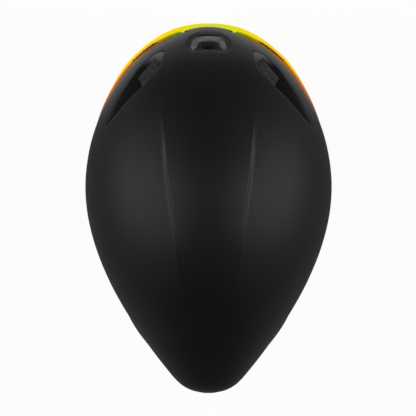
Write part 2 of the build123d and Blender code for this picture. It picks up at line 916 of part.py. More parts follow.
carrier_limit = visor_form(visor_wall + bond_gap)
for seat, place in zip(magnet_seats, magnet_places):
    finish(magnet(seat, 0), f"shell_magnet_{place}")
    finish(magnet(seat, -magnet_gap - magnet_thickness), f"visor_magnet_{place}")
    with BuildPart() as visor_carrier:
        with BuildSketch(seat.offset(-magnet_gap)):
            RectangleRounded(carrier_length, carrier_depth, carrier_corner)
        extrude(amount=-carrier_thickness)
        with BuildSketch(seat.offset(-magnet_gap)):
            Circle(magnet_radius + running_gap)
        extrude(amount=-magnet_thickness - running_gap, mode=Mode.SUBTRACT)
        add(carrier_limit, mode=Mode.INTERSECT)
    finish(visor_carrier, f"visor_carrier_{place}")

# Pads: pieces of one layer that lines the head space

with BuildPart() as pad_layer:
    add(head_space(fit_gap))
    add(head_space(fit_gap + pad_thickness), mode=Mode.SUBTRACT)

with BuildPart() as brow_pad:
    with BuildSketch(across(head_centre_y - head_half_width / 2)):
        with Locations((0, brow_pad_height)):
            RectangleRounded(*brow_pad_size, brow_pad_corner)
    extrude(amount=head_half_length)
    add(pad_layer.part, mode=Mode.INTERSECT)
finish(brow_pad, "brow_pad")

with BuildPart() as crown_pad:
    with BuildSketch(Plane.XY.offset(head_centre_height)):
        with Locations((crown_pad_x, crown_pad_y)):
            SlotOverall(*crown_pad_size, rotation=90)
    extrude(amount=shell_height)
    add(pad_layer.part, mode=Mode.INTERSECT)
finish_pair(crown_pad, "crown_pad")


def wall_pad(size, y, height, corner):
    """A pad on the left wall, drawn on a side view."""
    with BuildPart() as pad:
        with BuildSketch(Plane.YZ):
            with Locations((y, height)):
                RectangleRounded(*size, corner)
        extrude(amount=half_shell)
        add(pad_layer.part, mode=Mode.INTERSECT)
    return pad


finish_pair(wall_pad(side_pad_size, side_pad_y, side_pad_height, side_pad_corner), "side_pad")
finish_pair(wall_pad(ear_pad_size, ear_pad_y, ear_pad_height, ear_pad_corner), "ear_pad")

# Temple anchors and the flexible bands that hang on their pins


def wall_x(inset, y):
    """Half width of the head space's upright walls at a place, drawn in by an inset."""
    along = (y - head_centre_y) / (head_half_length - inset)
    return (head_half_width - inset) * sqrt(1 - along**2)


wall_limit = head_space(fit_gap)
band_face = wall_x(band_inset + band_thickness, anchor_y - anchor_cap_radius)
anchor_cap_foot = band_face - fit_gap - anchor_cap_thickness

with BuildPart() as temple_anchor:
    with BuildSketch(Plane.YZ):
        with Locations((anchor_y, anchor_height)):
            Circle(anchor_radius)
    extrude(amount=head_half_width)
    add(wall_limit, mode=Mode.INTERSECT)
    with BuildSketch():
        with Locations((0, head_centre_y)):
            inset = band_inset - fit_gap
            Ellipse(head_half_width - inset, head_half_length - inset)
    extrude(amount=head_top_height, mode=Mode.SUBTRACT)
    with BuildSketch(Plane.YZ.offset(anchor_cap_foot)):
        with Locations((anchor_y, anchor_height)):
            Circle(anchor_pin_radius)
    extrude(amount=wall_x(fit_gap, anchor_y) - anchor_cap_foot - fit_gap)
    with BuildSketch(Plane.YZ.offset(anchor_cap_foot)):
        with Locations((anchor_y, anchor_height)):
            Circle(anchor_cap_radius)
    extrude(amount=anchor_cap_thickness)
finish_pair(temple_anchor, "temple_anchor")

with BuildPart() as temple_band:
    for inset, mode in ((band_inset, Mode.ADD), (band_inset + band_thickness, Mode.SUBTRACT)):
        with BuildSketch():
            with Locations((0, head_centre_y)):
                Ellipse(head_half_width - inset, head_half_length - inset)
        extrude(amount=head_top_height, mode=mode)
    with BuildSketch(Plane.YZ.offset(rack_end + fit_gap)):
        with BuildLine():
            half = band_width / 2
            Polyline(
                (anchor_y, anchor_height + half),
                (band_rear_y, cradle_height + half),
                (head_half_length, cradle_height + half),
                (head_half_length, cradle_height - half),
                (band_rear_y - half, cradle_height - half),
                (anchor_y, anchor_height - half),
                close=True,
            )
        make_face()
        with Locations((anchor_y, anchor_height)):
            Circle(band_eye_radius)
            Circle(anchor_pin_radius + running_gap, mode=Mode.SUBTRACT)
    extrude(amount=half_shell, mode=Mode.INTERSECT)
finish_pair(temple_band, "temple_band")

# Fit dial: a pinion between two racks, so that both bands draw in together

tooth_pitch = pi * gear_module
pitch_radius = pinion_teeth * gear_module / 2
base_radius = pitch_radius * cos(radians(pressure_angle))
tip_radius = pitch_radius + pinion_addendum_share * gear_module
root_radius = pitch_radius - rack_addendum_share * gear_module - root_clearance
rack_tip = pitch_radius - rack_addendum_share * gear_module
rack_root = tip_radius + root_clearance
rack_top = rack_root + rack_bar
channel_back = channel_front + rack_thickness + 2 * rack_play
housing_front_y = channel_front - front_plate_thickness
housing_back_y = channel_back + back_plate_thickness
housing_inside = (rack_inner_end + rack_travel + fit_gap, rack_top + fit_gap)
housing_half = [size + housing_rim for size in housing_inside]
rack_front_y = channel_front + rack_play


def involute(angle):
    return tan(angle) - angle


def tooth_half_angle(radius):
    """Half the angle that a pinion tooth takes at a radius, from the involute of its base."""
    thickness = tooth_pitch / 2 - backlash / 2
    at_pitch = thickness / 2 / pitch_radius + involute(radians(pressure_angle))
    return at_pitch - involute(acos(min(base_radius / radius, 1)))


with BuildPart() as dial_pinion:
    with BuildSketch(across(rack_front_y)):
        ring = []
        for tooth in range(pinion_teeth):
            middle = 2 * pi * tooth / pinion_teeth
            flank = [root_radius, base_radius, (base_radius + tip_radius) / 2, tip_radius]
            turns = [tooth_half_angle(max(radius, base_radius)) for radius in flank]
            rising = [(radius, middle + turn) for radius, turn in zip(flank, turns)]
            falling = [(radius, middle - turn) for radius, turn in zip(flank, turns)]
            ring += falling + rising[::-1]
        with Locations((0, cradle_height)):
            Polygon(*[(r * sin(turn), r * cos(turn)) for r, turn in ring], align=None)
            Circle(shaft_radius + running_gap, mode=Mode.SUBTRACT)
    extrude(amount=-rack_thickness)
finish(dial_pinion, "dial_pinion")


def rack(side):
    """A toothed rack: the left one runs over the pinion and the right one under it."""
    teeth = int(rack_inner_end / tooth_pitch)
    slope = tan(radians(pressure_angle))
    half_thick = tooth_pitch / 4 - backlash / 4
    tip_half = half_thick - (pitch_radius - rack_tip) * slope
    root_half = half_thick + (rack_root - pitch_radius) * slope
    edge = []
    for tooth in range(-teeth, teeth):
        middle = (tooth + 1 / 2) * tooth_pitch
        edge += [
            (middle - root_half, rack_root),
            (middle - tip_half, rack_tip),
            (middle + tip_half, rack_tip),
            (middle + root_half, rack_root),
        ]
    outline = [(-rack_inner_end, rack_root), *edge, (rack_inner_end, rack_root)]
    outline += [
        (rack_end - rack_tab_width, rack_root),
        (rack_end - rack_tab_width, -band_width / 2),
        (rack_end, -band_width / 2),
        (rack_end, rack_top),
        (-rack_inner_end + rack_nose, rack_top),
        (-rack_inner_end, rack_top - rack_nose),
    ]
    with BuildPart() as bar:
        with BuildSketch(across(rack_front_y)):
            with Locations((0, cradle_height)):
                Polygon(*[(side * x, side * z) for x, z in outline], align=None)
        extrude(amount=-rack_thickness)
    return bar


finish(rack(1), "rack_left")
finish(rack(-1), "rack_right")

with BuildPart() as fit_dial:
    with BuildSketch(across(housing_back_y + fit_gap)):
        with Locations((0, cradle_height)):
            Circle(dial_radius)
    extrude(amount=-dial_depth)
    fillet(fit_dial.edges().filter_by(GeomType.CIRCLE).sort_by(Axis.Y)[-1], dial_fillet)
    with BuildSketch(across(housing_back_y + fit_gap)):
        with Locations((0, cradle_height)):
            with PolarLocations(dial_radius + dial_flute_radius / 2, dial_flutes):
                Circle(dial_flute_radius)
    extrude(amount=-dial_depth, mode=Mode.SUBTRACT)
    with BuildSketch(across(housing_back_y + fit_gap)):
        with Locations((0, cradle_height)):
            Circle(shaft_radius)
    extrude(amount=housing_back_y + fit_gap - rack_front_y)
    with BuildSketch(across(rack_front_y)):
        with Locations((0, cradle_height)):
            Circle(screw_radius + running_gap)
    extrude(amount=-screw_length, mode=Mode.SUBTRACT)
finish(fit_dial, "fit_dial")

with BuildPart() as dial_screw:
    with BuildSketch(across(rack_front_y - rack_play / 2)):
        with Locations((0, cradle_height)):
            Circle(screw_head_radius)
    extrude(amount=screw_head_depth)
    with BuildSketch(across(rack_front_y - rack_play / 2)):
        with Locations((0, cradle_height)):
            Circle(screw_radius)
    extrude(amount=-screw_length + rack_play)
finish(dial_screw, "dial_screw")

with BuildPart() as cradle_housing_front:
    with BuildSketch(across(channel_front)):
        with Locations((0, cradle_height)):
            RectangleRounded(2 * housing_half[0], 2 * housing_half[1], housing_corner)
    extrude(amount=front_plate_thickness)
    fillet(cradle_housing_front.faces().sort_by(Axis.Y)[0].edges(), housing_edge)
    with BuildSketch(across(channel_front)):
        with Locations((0, cradle_height)):
            Circle(screw_head_radius + fit_gap)
    extrude(amount=screw_head_depth + fit_gap, mode=Mode.SUBTRACT)
finish(cradle_housing_front, "cradle_housing_front")

with BuildPart() as cradle_housing_back:
    with BuildSketch(across(channel_front + rack_play / 2)):
        with Locations((0, cradle_height)):
            RectangleRounded(2 * housing_half[0], 2 * housing_half[1], housing_corner)
    extrude(amount=-(housing_back_y - channel_front - rack_play / 2))
    with BuildSketch(across(channel_front)):
        with Locations((0, cradle_height)):
            RectangleRounded(2 * housing_inside[0], 2 * housing_inside[1], housing_corner - housing_rim)
    extrude(amount=-(channel_back - channel_front), mode=Mode.SUBTRACT)
    with BuildSketch(across(channel_front)):
        for side in (1, -1):
            middle = side * (rack_root + rack_bar / 2)
            with Locations((side * housing_half[0], cradle_height + middle)):
                Rectangle(housing_half[0], rack_bar + 2 * fit_gap)
    extrude(amount=-(channel_back - channel_front), mode=Mode.SUBTRACT)
    with BuildSketch(across(channel_front)):
        with Locations((0, cradle_height)):
            Circle(shaft_radius + running_gap)
    extrude(amount=-shell_length, mode=Mode.SUBTRACT)
finish(cradle_housing_back, "cradle_housing_back")

with BuildPart() as nape_pad:
    pad_x, pad_y, pad_z = nape_pad_size
    with BuildSketch(across(housing_front_y - fit_gap)):
        with Locations((nape_pad_x, cradle_height)):
            RectangleRounded(pad_x, pad_z, housing_corner)
    extrude(amount=pad_y)
    fillet(nape_pad.faces().sort_by(Axis.Y)[0].edges(), nape_pad_fillet)
finish_pair(nape_pad, "nape_pad")

# Height ladder on the cradle, and the clip on the foam that it slides through

with BuildPart() as height_ladder:
    foot_height = cradle_height + housing_half[1] + fit_gap
    foot_y = channel_back - ladder_thickness / 2
    with BuildSketch(Plane.YZ.offset(-ladder_width / 2)):
        with BuildLine() as ladder_line:
            Polyline(
                (foot_y, foot_height),
                (foot_y, foot_height + ladder_thickness),
                (ladder_y, ladder_bend_height),
                (ladder_y, ladder_top_height),
            )
        trace(line_width=ladder_thickness)
    extrude(amount=ladder_width)
    with BuildSketch(across(ladder_y + overrun)):
        with Locations((0, ladder_top_height - ladder_rung_spacing * ladder_rungs / 2)):
            with GridLocations(0, ladder_rung_spacing, 1, ladder_rungs):
                RectangleRounded(*ladder_rung_size, ladder_rung_size[1] / 3)
    extrude(amount=2 * overrun, mode=Mode.SUBTRACT)
finish(height_ladder, "height_ladder")

with BuildPart() as ladder_clip:
    slot_front = ladder_y - ladder_thickness / 2 - clip_play
    slot_back = ladder_y + ladder_thickness / 2 + clip_play
    with BuildSketch(Plane.XY.offset(clip_centre_height - clip_height / 2)):
        with BuildLine():
            rear = head_centre_y + head_half_length
            Polyline(
                (-clip_width / 2, slot_front - clip_lip),
                (clip_width / 2, slot_front - clip_lip),
                (clip_width / 2, rear),
                (-clip_width / 2, rear),
                close=True,
            )
        make_face()
        with Locations((0, (slot_front + slot_back) / 2)):
            Rectangle(ladder_width + 2 * clip_play, slot_back - slot_front, mode=Mode.SUBTRACT)
    extrude(amount=clip_height)
    add(wall_limit, mode=Mode.INTERSECT)
finish(ladder_clip, "ladder_clip")

# Straps, their plugs in the foam, and the dividers below the ears


def webbing(route):
    """Flat webbing through its route, facing the way that each point gives."""
    points = [Vector(*point) for point, _ in route]
    with BuildPart() as strap:
        for i, (point, facing) in enumerate(route):
            run = points[min(i + 1, len(points) - 1)] - points[max(i - 1, 0)]
            with BuildSketch(Plane(origin=point, x_dir=run.cross(Vector(*facing)), z_dir=run)):
                Rectangle(strap_width, strap_thickness)
        loft(ruled=True)
    return strap


finish_pair(webbing(front_strap_route), "front_strap")
finish_pair(webbing(rear_strap_route), "rear_strap")
finish_pair(webbing(chin_strap_route), "chin_strap")

plug_limit = head_space(-plug_depth)
for (y, z), name in ((front_plug, "front_strap_plug"), (rear_plug, "rear_strap_plug")):
    with BuildPart() as strap_plug:
        with BuildSketch(Plane.YZ):
            with Locations((y, z)):
                Circle(plug_radius)
        extrude(amount=shell_width)
        add(plug_limit, mode=Mode.INTERSECT)
        add(wall_limit, mode=Mode.SUBTRACT)
    finish_pair(strap_plug, name)

with BuildPart() as strap_divider:
    x, y, z = divider_centre
    thickness, width, height = divider_size
    hinge_x = x - thickness / 2 - lever_hinge_radius - fit_gap
    with BuildSketch(Plane.YZ.offset(x - thickness / 2)):
        with Locations((y, z)):
            RectangleRounded(width, height, divider_corner)
        with Locations((y, z - divider_window_drop)):
            RectangleRounded(*divider_window, divider_window[1] / 3, mode=Mode.SUBTRACT)
    extrude(amount=thickness)
    ear_reach, ear_width, ear_height = divider_ear
    for side in (1, -1):
        middle = y + side * (lever_width / 2 + fit_gap + ear_width / 2)
        with BuildSketch(Plane.YZ.offset(x - thickness / 2)):
            with Locations((middle, lever_hinge_height)):
                Rectangle(ear_width, ear_height)
        extrude(amount=-ear_reach - lever_hinge_radius)
    with BuildSketch(Plane.XZ.offset(-y - lever_width)):
        with Locations((hinge_x, lever_hinge_height)):
            Circle(lever_pin_radius + running_gap)
    extrude(amount=2 * lever_width, mode=Mode.SUBTRACT)
finish_pair(strap_divider, "strap_divider")

with BuildPart() as divider_lever:
    with BuildSketch(Plane.XZ.offset(-y - lever_width / 2)):
        with Locations((hinge_x, lever_hinge_height)):
            Circle(lever_hinge_radius)
        with Locations((hinge_x, lever_hinge_height - lever_length / 2)):
            Rectangle(lever_thickness, lever_length)
    extrude(amount=lever_width)
    with BuildSketch(Plane.XZ.offset(-y - lever_width / 2 - divider_ear[1])):
        with Locations((hinge_x, lever_hinge_height)):
            Circle(lever_pin_radius)
    extrude(amount=lever_width + 2 * divider_ear[1])
finish_pair(divider_lever, "divider_lever")

# Buckle: the right half's prongs enter the left half

buckle_plane = Plane(origin=(buckle_split, buckle_y, buckle_height), x_dir=(0, 1, 0), z_dir=(1, 0, 0))

with BuildPart() as buckle_female:
    with BuildSketch(buckle_plane):
        RectangleRounded(buckle_width, buckle_thickness, buckle_corner)
    extrude(amount=buckle_length)
    fillet(buckle_female.faces().sort_by(Axis.X)[-1].edges(), buckle_fillet)
    with BuildSketch(buckle_plane):
        Rectangle(buckle_mouth_width, buckle_mouth_height)
    extrude(amount=buckle_mouth_depth, mode=Mode.SUBTRACT)
    with BuildSketch(buckle_plane.offset(buckle_length)):
        Rectangle(strap_width + 2 * fit_gap, strap_thickness + 2 * fit_gap)
    extrude(amount=-strap_socket_depth, mode=Mode.SUBTRACT)
    with BuildSketch(Plane.XY.offset(buckle_height + buckle_thickness / 2)):
        with Locations((buckle_split + buckle_mouth_depth / 2, buckle_y)):
            SlotOverall(release_size[1], release_size[0] / 2)
    extrude(amount=-release_depth, mode=Mode.SUBTRACT)
finish(buckle_female, "buckle_female")

male_length = buckle_length + 2 * buckle_split
with BuildPart() as buckle_male:
    with BuildSketch(buckle_plane.offset(-fit_gap)):
        RectangleRounded(buckle_width, buckle_thickness, buckle_corner)
    extrude(amount=fit_gap - male_length)
    fillet(buckle_male.faces().sort_by(Axis.X)[0].edges(), buckle_fillet)
    reach = buckle_mouth_width / 2 - prong_play - prong_width / 2
    with BuildSketch(buckle_plane.offset(-fit_gap)):
        with GridLocations(reach, 0, 3, 1):
            Rectangle(prong_width, prong_height)
    extrude(amount=prong_length)
    with BuildSketch(buckle_plane.offset(-male_length)):
        Rectangle(strap_width + 2 * fit_gap, strap_thickness + 2 * fit_gap)
    extrude(amount=strap_socket_depth, mode=Mode.SUBTRACT)
finish(buckle_male, "buckle_male")

with BuildPart() as chin_pad:
    pad_x, pad_y, pad_z = chin_pad_size
    x, y, z = chin_pad_centre
    with BuildSketch(Plane.XY.offset(z - pad_z / 2)):
        with Locations((x, y)):
            RectangleRounded(pad_x, pad_y, chin_pad_corner)
    extrude(amount=pad_z)
    fillet(chin_pad.faces().sort_by(Axis.Z)[-1].edges(), chin_pad_fillet)
finish(chin_pad, "chin_pad")
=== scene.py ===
# %% [markdown]
# # A time trial helmet and its finishes
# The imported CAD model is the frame: every piece below sits on it, in metres, and rides on
# one of its bodies. The large surfaces are worked out again with numpy, finely enough for
# soft studio light. Small moulded pieces stay as the frame has them and get better finishes.

# %% Load the frame
import bmesh
import bpy
import json
import numpy as np
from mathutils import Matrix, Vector


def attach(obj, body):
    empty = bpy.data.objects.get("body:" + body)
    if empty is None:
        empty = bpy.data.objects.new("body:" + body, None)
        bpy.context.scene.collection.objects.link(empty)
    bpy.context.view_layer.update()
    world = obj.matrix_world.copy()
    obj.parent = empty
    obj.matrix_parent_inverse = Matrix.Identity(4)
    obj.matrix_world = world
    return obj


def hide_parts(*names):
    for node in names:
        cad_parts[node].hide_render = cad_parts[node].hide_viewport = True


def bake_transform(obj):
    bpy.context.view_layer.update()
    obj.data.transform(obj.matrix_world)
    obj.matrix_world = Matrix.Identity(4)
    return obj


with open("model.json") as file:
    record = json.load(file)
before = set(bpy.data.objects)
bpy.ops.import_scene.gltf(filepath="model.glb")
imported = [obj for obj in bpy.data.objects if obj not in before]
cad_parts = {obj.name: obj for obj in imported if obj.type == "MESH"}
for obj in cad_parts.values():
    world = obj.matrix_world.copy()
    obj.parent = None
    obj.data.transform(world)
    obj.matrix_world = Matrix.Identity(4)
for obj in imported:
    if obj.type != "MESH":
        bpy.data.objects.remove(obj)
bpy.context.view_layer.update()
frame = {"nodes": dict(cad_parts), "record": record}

MM = 0.001
SIDES = (("left", 1), ("right", -1))

# %% [markdown]
# ## Shader maths written as sums
# A finish is a small web of nodes. It could be drawn by hand in the shader editor, or made
# link by link. Wrapping each socket in a class lets the web be written as ordinary sums
# instead, so a mask reads as `1 - grain * 0.5` and not as a list of links.

# %% Sockets that add and multiply


class Wire:
    """A shader socket that takes part in sums: each operator adds one Math node."""

    def __init__(self, tree, socket):
        self.tree, self.socket = tree, socket

    def maths(self, operation, *others):
        """One Math node that takes this wire and the others."""
        node = self.tree.nodes.new("ShaderNodeMath")
        node.operation = operation
        for place, value in zip(node.inputs, (self, *others)):
            feed(self.tree, place, value)
        return Wire(self.tree, node.outputs[0])

    def __add__(self, other):
        return self.maths("ADD", other)

    def __mul__(self, other):
        return self.maths("MULTIPLY", other)

    def __sub__(self, other):
        return self.maths("SUBTRACT", other)

    def __rsub__(self, other):
        return (self * -1).maths("ADD", other)

    def __truediv__(self, other):
        return self.maths("DIVIDE", other)

    def __abs__(self):
        return self.maths("ABSOLUTE")

    __radd__ = __add__
    __rmul__ = __mul__


def feed(tree, place, value):
    """Link a wire to a socket, or set the socket's own value."""
    if isinstance(value, Wire):
        tree.links.new(value.socket, place)
    else:
        place.default_value = value


class Web:
    """A tree of shader nodes. One method adds any kind of node, and the rest are short names
    for those that are used most."""

    def __init__(self, tree):
        self.tree = tree

    def node(self, kind, settings=(), inputs=(), output=0):
        """Add a node, set its settings first and then its inputs, and return one output."""
        made = self.tree.nodes.new("ShaderNode" + kind)
        for key, value in dict(settings).items():
            setattr(made, key, value)
        for key, value in dict(inputs).items():
            feed(self.tree, made.inputs[key], value)
        return Wire(self.tree, made.outputs[output])

    def place(self):
        """Object coordinates, which stay with the piece."""
        return self.node("TexCoord", output="Object")

    def lay(self):
        """The piece's own map, where it carries one."""
        return self.node("UVMap", {"uv_map": "lay"})

    def axis(self, name, vector=None):
        """One coordinate of a vector, or of the place in metres."""
        return self.node("SeparateXYZ", inputs={0: vector or self.place()}, output=name)

    def noise(self, scale, detail=2.0):
        """Soft noise with so many waves to the metre."""
        inputs = {"Vector": self.place(), "Scale": scale, "Detail": detail}
        return self.node("TexNoise", inputs=inputs)

    def cells(self, scale, feature="F1", output=0):
        """A pattern of cells that meet at straight borders, so many to the metre."""
        inputs = {"Vector": self.place(), "Scale": scale}
        return self.node("TexVoronoi", {"feature": feature}, inputs, output)

    def between(self, value, low, high, start=0.0, end=1.0):
        """Carry a value smoothly from one range to another and hold it at both ends."""
        inputs = {"Value": value, 1: low, 2: high, 3: start, 4: end}
        return self.node("MapRange", {"interpolation_type": "SMOOTHSTEP"}, inputs)

    def mix(self, share, first, second):
        """Blend two colours by a share."""
        inputs = {0: share, 6: first, 7: second}
        return self.node("Mix", {"data_type": "RGBA"}, inputs, output=2)


class Finish(Web):
    """A material with its principled shader."""

    def __init__(self, name, **values):
        self.material = bpy.data.materials.new(name)
        self.material.use_nodes = True
        super().__init__(self.material.node_tree)
        self.shader = self.tree.nodes["Principled BSDF"]
        for key, value in values.items():
            self.shader.inputs[key.replace("_", " ")].default_value = value

    def set(self, key, value):
        """Give one of the shader's sockets a wire or a value."""
        feed(self.tree, self.shader.inputs[key], value)

    def bump(self, height, distance):
        """Let a height of so many metres tilt the surface."""
        self.set("Normal", self.node("Bump", inputs={"Height": height, "Distance": distance}))


def grey(level, warmth=0.0):
    """A grey, whose red is raised and whose blue is lowered by a share of it."""
    return (level * (1 + warmth), level, level * (1 - warmth), 1)


def tell(what, *finishes):
    """Print the names of the finishes that a cell has made."""
    print(what, "finishes:", ", ".join(finish.name for finish in finishes))


# %% [markdown]
# ## Matte skin
# The shell is a thin thermoformed skin with a matte black lacquer. Such lacquer is never one
# flat black: it has a fine orange peel, and its roughness drifts a little where hands rub it.
# A painted picture would need a map without seams. Noise at two scales needs none: one is
# too fine to see as dots, and one is as wide as a hand. The lacquer draws thin and glossier
# over a tight crease, which a map on the shell says.

# %% Skin finishes


def skin_finish(name, level, roughness):
    """Lacquer: a grey that drifts by 15 percent, and a roughness that falls in a crease and
    rises and falls with both noises."""
    made = Finish(name, Specular_IOR_Level=0.22)
    drift = made.noise(14, 3)
    peel = made.noise(2600, 1)
    made.set("Base Color", made.mix(drift, grey(level * 0.85), grey(level * 1.15)))
    tight = made.axis("X", made.lay())
    made.set("Roughness", roughness - tight * 0.20 + (drift - 0.5) * 0.10 + (peel - 0.5) * 0.06)
    made.bump(peel, 0.00002)
    return made.material


shell_skin = skin_finish("matte_black_lacquer", 0.0050, 0.50)
lower_skin = skin_finish("satin_black_lacquer", 0.009, 0.46)
dish_plastic = skin_finish("satin_dish_plastic", 0.0035, 0.55)
tell("skin", shell_skin, lower_skin, dish_plastic)

# %% [markdown]
# ## Bead foam
# The liner is expanded foam, moulded from beads about three millimetres wide that are pressed
# flat against each other. Modelling each bead would take millions of faces. A pattern of
# cells has that look: the distance to a cell's border makes the joints between beads, and
# each cell's own random colour makes some beads lighter. Where the foam is cut, its beads
# are torn smaller, and a map on the piece says where painted shade darkens them nearly to
# black: in the pits that torn beads leave, and deep in the centre intake.

# %% Foam finish


def foam_finish(name, level, bead, painted_shade=False):
    """Beads of one width: dark at their borders, elsewhere 0.8 to 1.6 times a level. Where
    asked, the piece's map paints shade over them, nearly black.
    """
    made = Finish(name, Roughness=0.72)
    border = made.cells(1 / bead, "DISTANCE_TO_EDGE")
    shade = made.axis("X", made.cells(1 / bead, output="Color"))
    joint = made.between(border, 0.0, 0.12)
    light = made.mix(shade, grey(level * 0.8), grey(level * 1.6))
    tone = made.mix(joint, grey(level * 0.35), light)
    # Painted shade: where the piece's map says, the foam is darkened nearly to black.
    if painted_shade:
        painted_shade_map = made.axis("X", made.lay())
        tone = made.mix(made.between(painted_shade_map, 0.05, 0.45), tone, grey(0.002))
    made.set("Base Color", tone)
    made.bump(made.between(border, 0.0, 0.35) + made.noise(2400, 2) * 0.25, 0.0004)
    return made.material


bead_foam = foam_finish("black_bead_foam", 0.022, 0.0032)
# Both maps paint shade: in the window foam's pits, and deep in the centre intake's funnel.
vent_foam = foam_finish("torn_foam_painted_pit_shade", 0.028, 0.0015, painted_shade=True)
pale_foam = foam_finish("pale_foam_painted_depth_shade", 0.16, 0.0016, painted_shade=True)
tell("foam", bead_foam, vent_foam, pale_foam)

# %% [markdown]
# ## Plain mouldings, rubber and metal
# Fittings are black nylon with a fine sparked grain. The dial and the buckle wear shinier
# where fingers turn and press them. Edge wear could follow the mesh's edges, but fingers rub
# whole faces, so the roughness falls in soft patches of noise. The same recipe with other
# numbers gives rubber, plated magnets, a steel screw and the dark wall of the lens.

# %% Finishes of the small fittings


def moulded_finish(name, level, roughness, grain=1900, depth=0.00003, metallic=0.0):
    """A grey that is 35 percent lighter and a little smoother where it is worn."""
    made = Finish(name, Metallic=metallic)
    worn = made.between(made.noise(70, 2), 0.45, 0.75)
    fine = made.noise(grain, 2)
    made.set("Base Color", made.mix(worn, grey(level), grey(level * 1.35)))
    made.set("Roughness", roughness - worn * 0.12 + (fine - 0.5) * 0.08)
    made.bump(fine, depth)
    return made.material


nylon = moulded_finish("black_nylon", 0.022, 0.52)
dial_nylon = moulded_finish("dial_nylon", 0.028, 0.44, 1500)
band_nylon = moulded_finish("flexible_band_nylon", 0.035, 0.40, 900)
seal_rubber = moulded_finish("soft_seal_rubber", 0.018, 0.80, 1200, 0.00004)
nickel = moulded_finish("nickel_plate", 0.62, 0.30, 700, 0.00001, 1.0)
steel = moulded_finish("turned_steel", 0.55, 0.34, 900, 0.00001, 1.0)
smoke_lens = moulded_finish("smoke_tinted_lens", 0.006, 0.24, 300, 0.000002)
tell("fitting", nylon, dial_nylon, band_nylon, seal_rubber, nickel, steel, smoke_lens)

# %% [markdown]
# ## Section of the shell
# The shell is drawn as the frame draws it: across every station its outline is one curve from
# the crown to the waist and one from the waist to the keel. Both are the same cubic with
# its size changed. The form could be sculpted, but a table of a few sizes along the helmet
# and one curve that they scale keep it true to the frame, and let any point be worked out.

# %% Stations and the section curve
NOSE_Y, SHELL_LENGTH, HALF_SHELL, SHELL_HEIGHT = -169.3, 342.8, 116.0, 194.0
SKIN, SPINE_HEIGHT, SPINE_WALL = 1.6, 2.4, 4.0

# place along the length, half width, top, waist and base, then the spine's half width as a
# share of the half width there, and its height: all are shares of the sizes above
STATIONS = np.array([
    (0.0004, 0.034, 0.395, 0.371, 0.349, 0.45, 0.00),
    (0.0015, 0.065, 0.418, 0.371, 0.327, 0.45, 0.00),
    (0.006, 0.130, 0.464, 0.371, 0.283, 0.45, 0.00),
    (0.026, 0.275, 0.562, 0.372, 0.190, 0.45, 0.00),
    (0.060, 0.462, 0.655, 0.374, 0.090, 0.45, 0.00),
    (0.110, 0.630, 0.752, 0.376, -0.026, 0.47, 0.00),
    (0.190, 0.798, 0.856, 0.378, -0.155, 0.47, 0.00),
    (0.290, 0.929, 0.936, 0.376, -0.247, 0.378, 0.34),
    (0.400, 0.992, 0.987, 0.373, -0.300, 0.325, 0.95),
    (0.500, 0.984, 1.000, 0.372, -0.289, 0.288, 1.00),
    (0.600, 0.915, 0.982, 0.378, -0.180, 0.264, 0.70),
    (0.700, 0.794, 0.928, 0.392, 0.000, 0.251, 0.18),
    (0.790, 0.644, 0.848, 0.412, 0.186, 0.252, 0.00),
    (0.870, 0.483, 0.753, 0.434, 0.300, 0.25, 0.00),
    (0.935, 0.334, 0.660, 0.452, 0.361, 0.25, 0.00),
    (0.975, 0.225, 0.590, 0.465, 0.407, 0.25, 0.00),
    (0.992, 0.134, 0.546, 0.472, 0.436, 0.25, 0.00),
    (0.9985, 0.050, 0.505, 0.474, 0.461, 0.25, 0.00),
])


def through_rows(table, share):
    """Values at any share: between two rows a cubic, whose slope at each row is the slope of
    the chord through that row's two neighbours."""
    last = len(table) - 1
    share = np.clip(share, table[0, 0], table[-1, 0])
    i = np.clip(np.searchsorted(table[:, 0], share, side="right") - 1, 0, last - 1)
    before, low, high, after = (table[np.clip(i + k, 0, last)] for k in (-1, 0, 1, 2))
    span = (high - low)[..., :1]
    t = (share[..., None] - low[..., :1]) / span
    slope_low = (high - before) / (high - before)[..., :1] * span
    slope_high = (after - low) / (after - low)[..., :1] * span
    value = low * (1 + 2 * t) * (1 - t) ** 2 + slope_low * t * (1 - t) ** 2
    return (value + high * t * t * (3 - 2 * t) + slope_high * t * t * (t - 1))[..., 1:]


def sizes(y):
    """Half width, top, waist and base heights, spine half width and spine height."""
    values = through_rows(STATIONS, (np.asarray(y, float) - NOSE_Y) / SHELL_LENGTH)
    width, top, waist, base, spine, rise = np.moveaxis(values, -1, 0)
    half = width * HALF_SHELL
    levels = [level * SHELL_HEIGHT for level in (top, waist, base)]
    return half, *levels, spine * half, rise * SPINE_HEIGHT


# the cubic, finely sampled: how far out and how far up it is at each turn
TURN = np.linspace(0, 1, 2001)
FULLNESS = 0.58
OUT = 3 * FULLNESS * (1 - TURN) ** 2 * TURN + 3 * (1 - TURN) * TURN**2 + TURN**3
UP = (1 - TURN) ** 3 + 3 * (1 - TURN) ** 2 * TURN + 3 * FULLNESS * (1 - TURN) * TURN**2


def turn_at_x(x, half):
    """How far round the section a half width lies, from 0 at the crown to 1 at the waist."""
    return np.interp(np.clip(x / half, 0, 1), OUT, TURN)


def turn_at_height(z, top, waist, base):
    """How far round the section a height lies: 0 crown, 1 waist, 2 keel."""
    above = np.interp((z - waist) / (top - waist), UP[::-1], TURN[::-1])
    below = np.interp((waist - z) / (waist - base), UP[::-1], TURN[::-1])
    return np.where(z >= waist, above, 2 - below)


def spine_lift(x, y):
    """The raised spine: its full height inside the crease, then a hollow wall that falls to
    nothing as the square of the way left to its foot."""
    half, _, _, _, crease, rise = sizes(y)
    foot = np.minimum(crease + SPINE_WALL, (crease + half) / 2)
    left = np.clip((foot - np.abs(x)) / np.maximum(foot - crease, 1e-6), 0, 1)
    return rise * left**2


def crown_height(x, y, spine=True):
    """Height of the shell's upper surface over the plan."""
    half, top, waist, _, _, _ = sizes(y)
    lift = spine_lift(x, y) if spine else 0
    return waist + (top - waist) * np.interp(turn_at_x(np.abs(x), half), TURN, UP) + lift


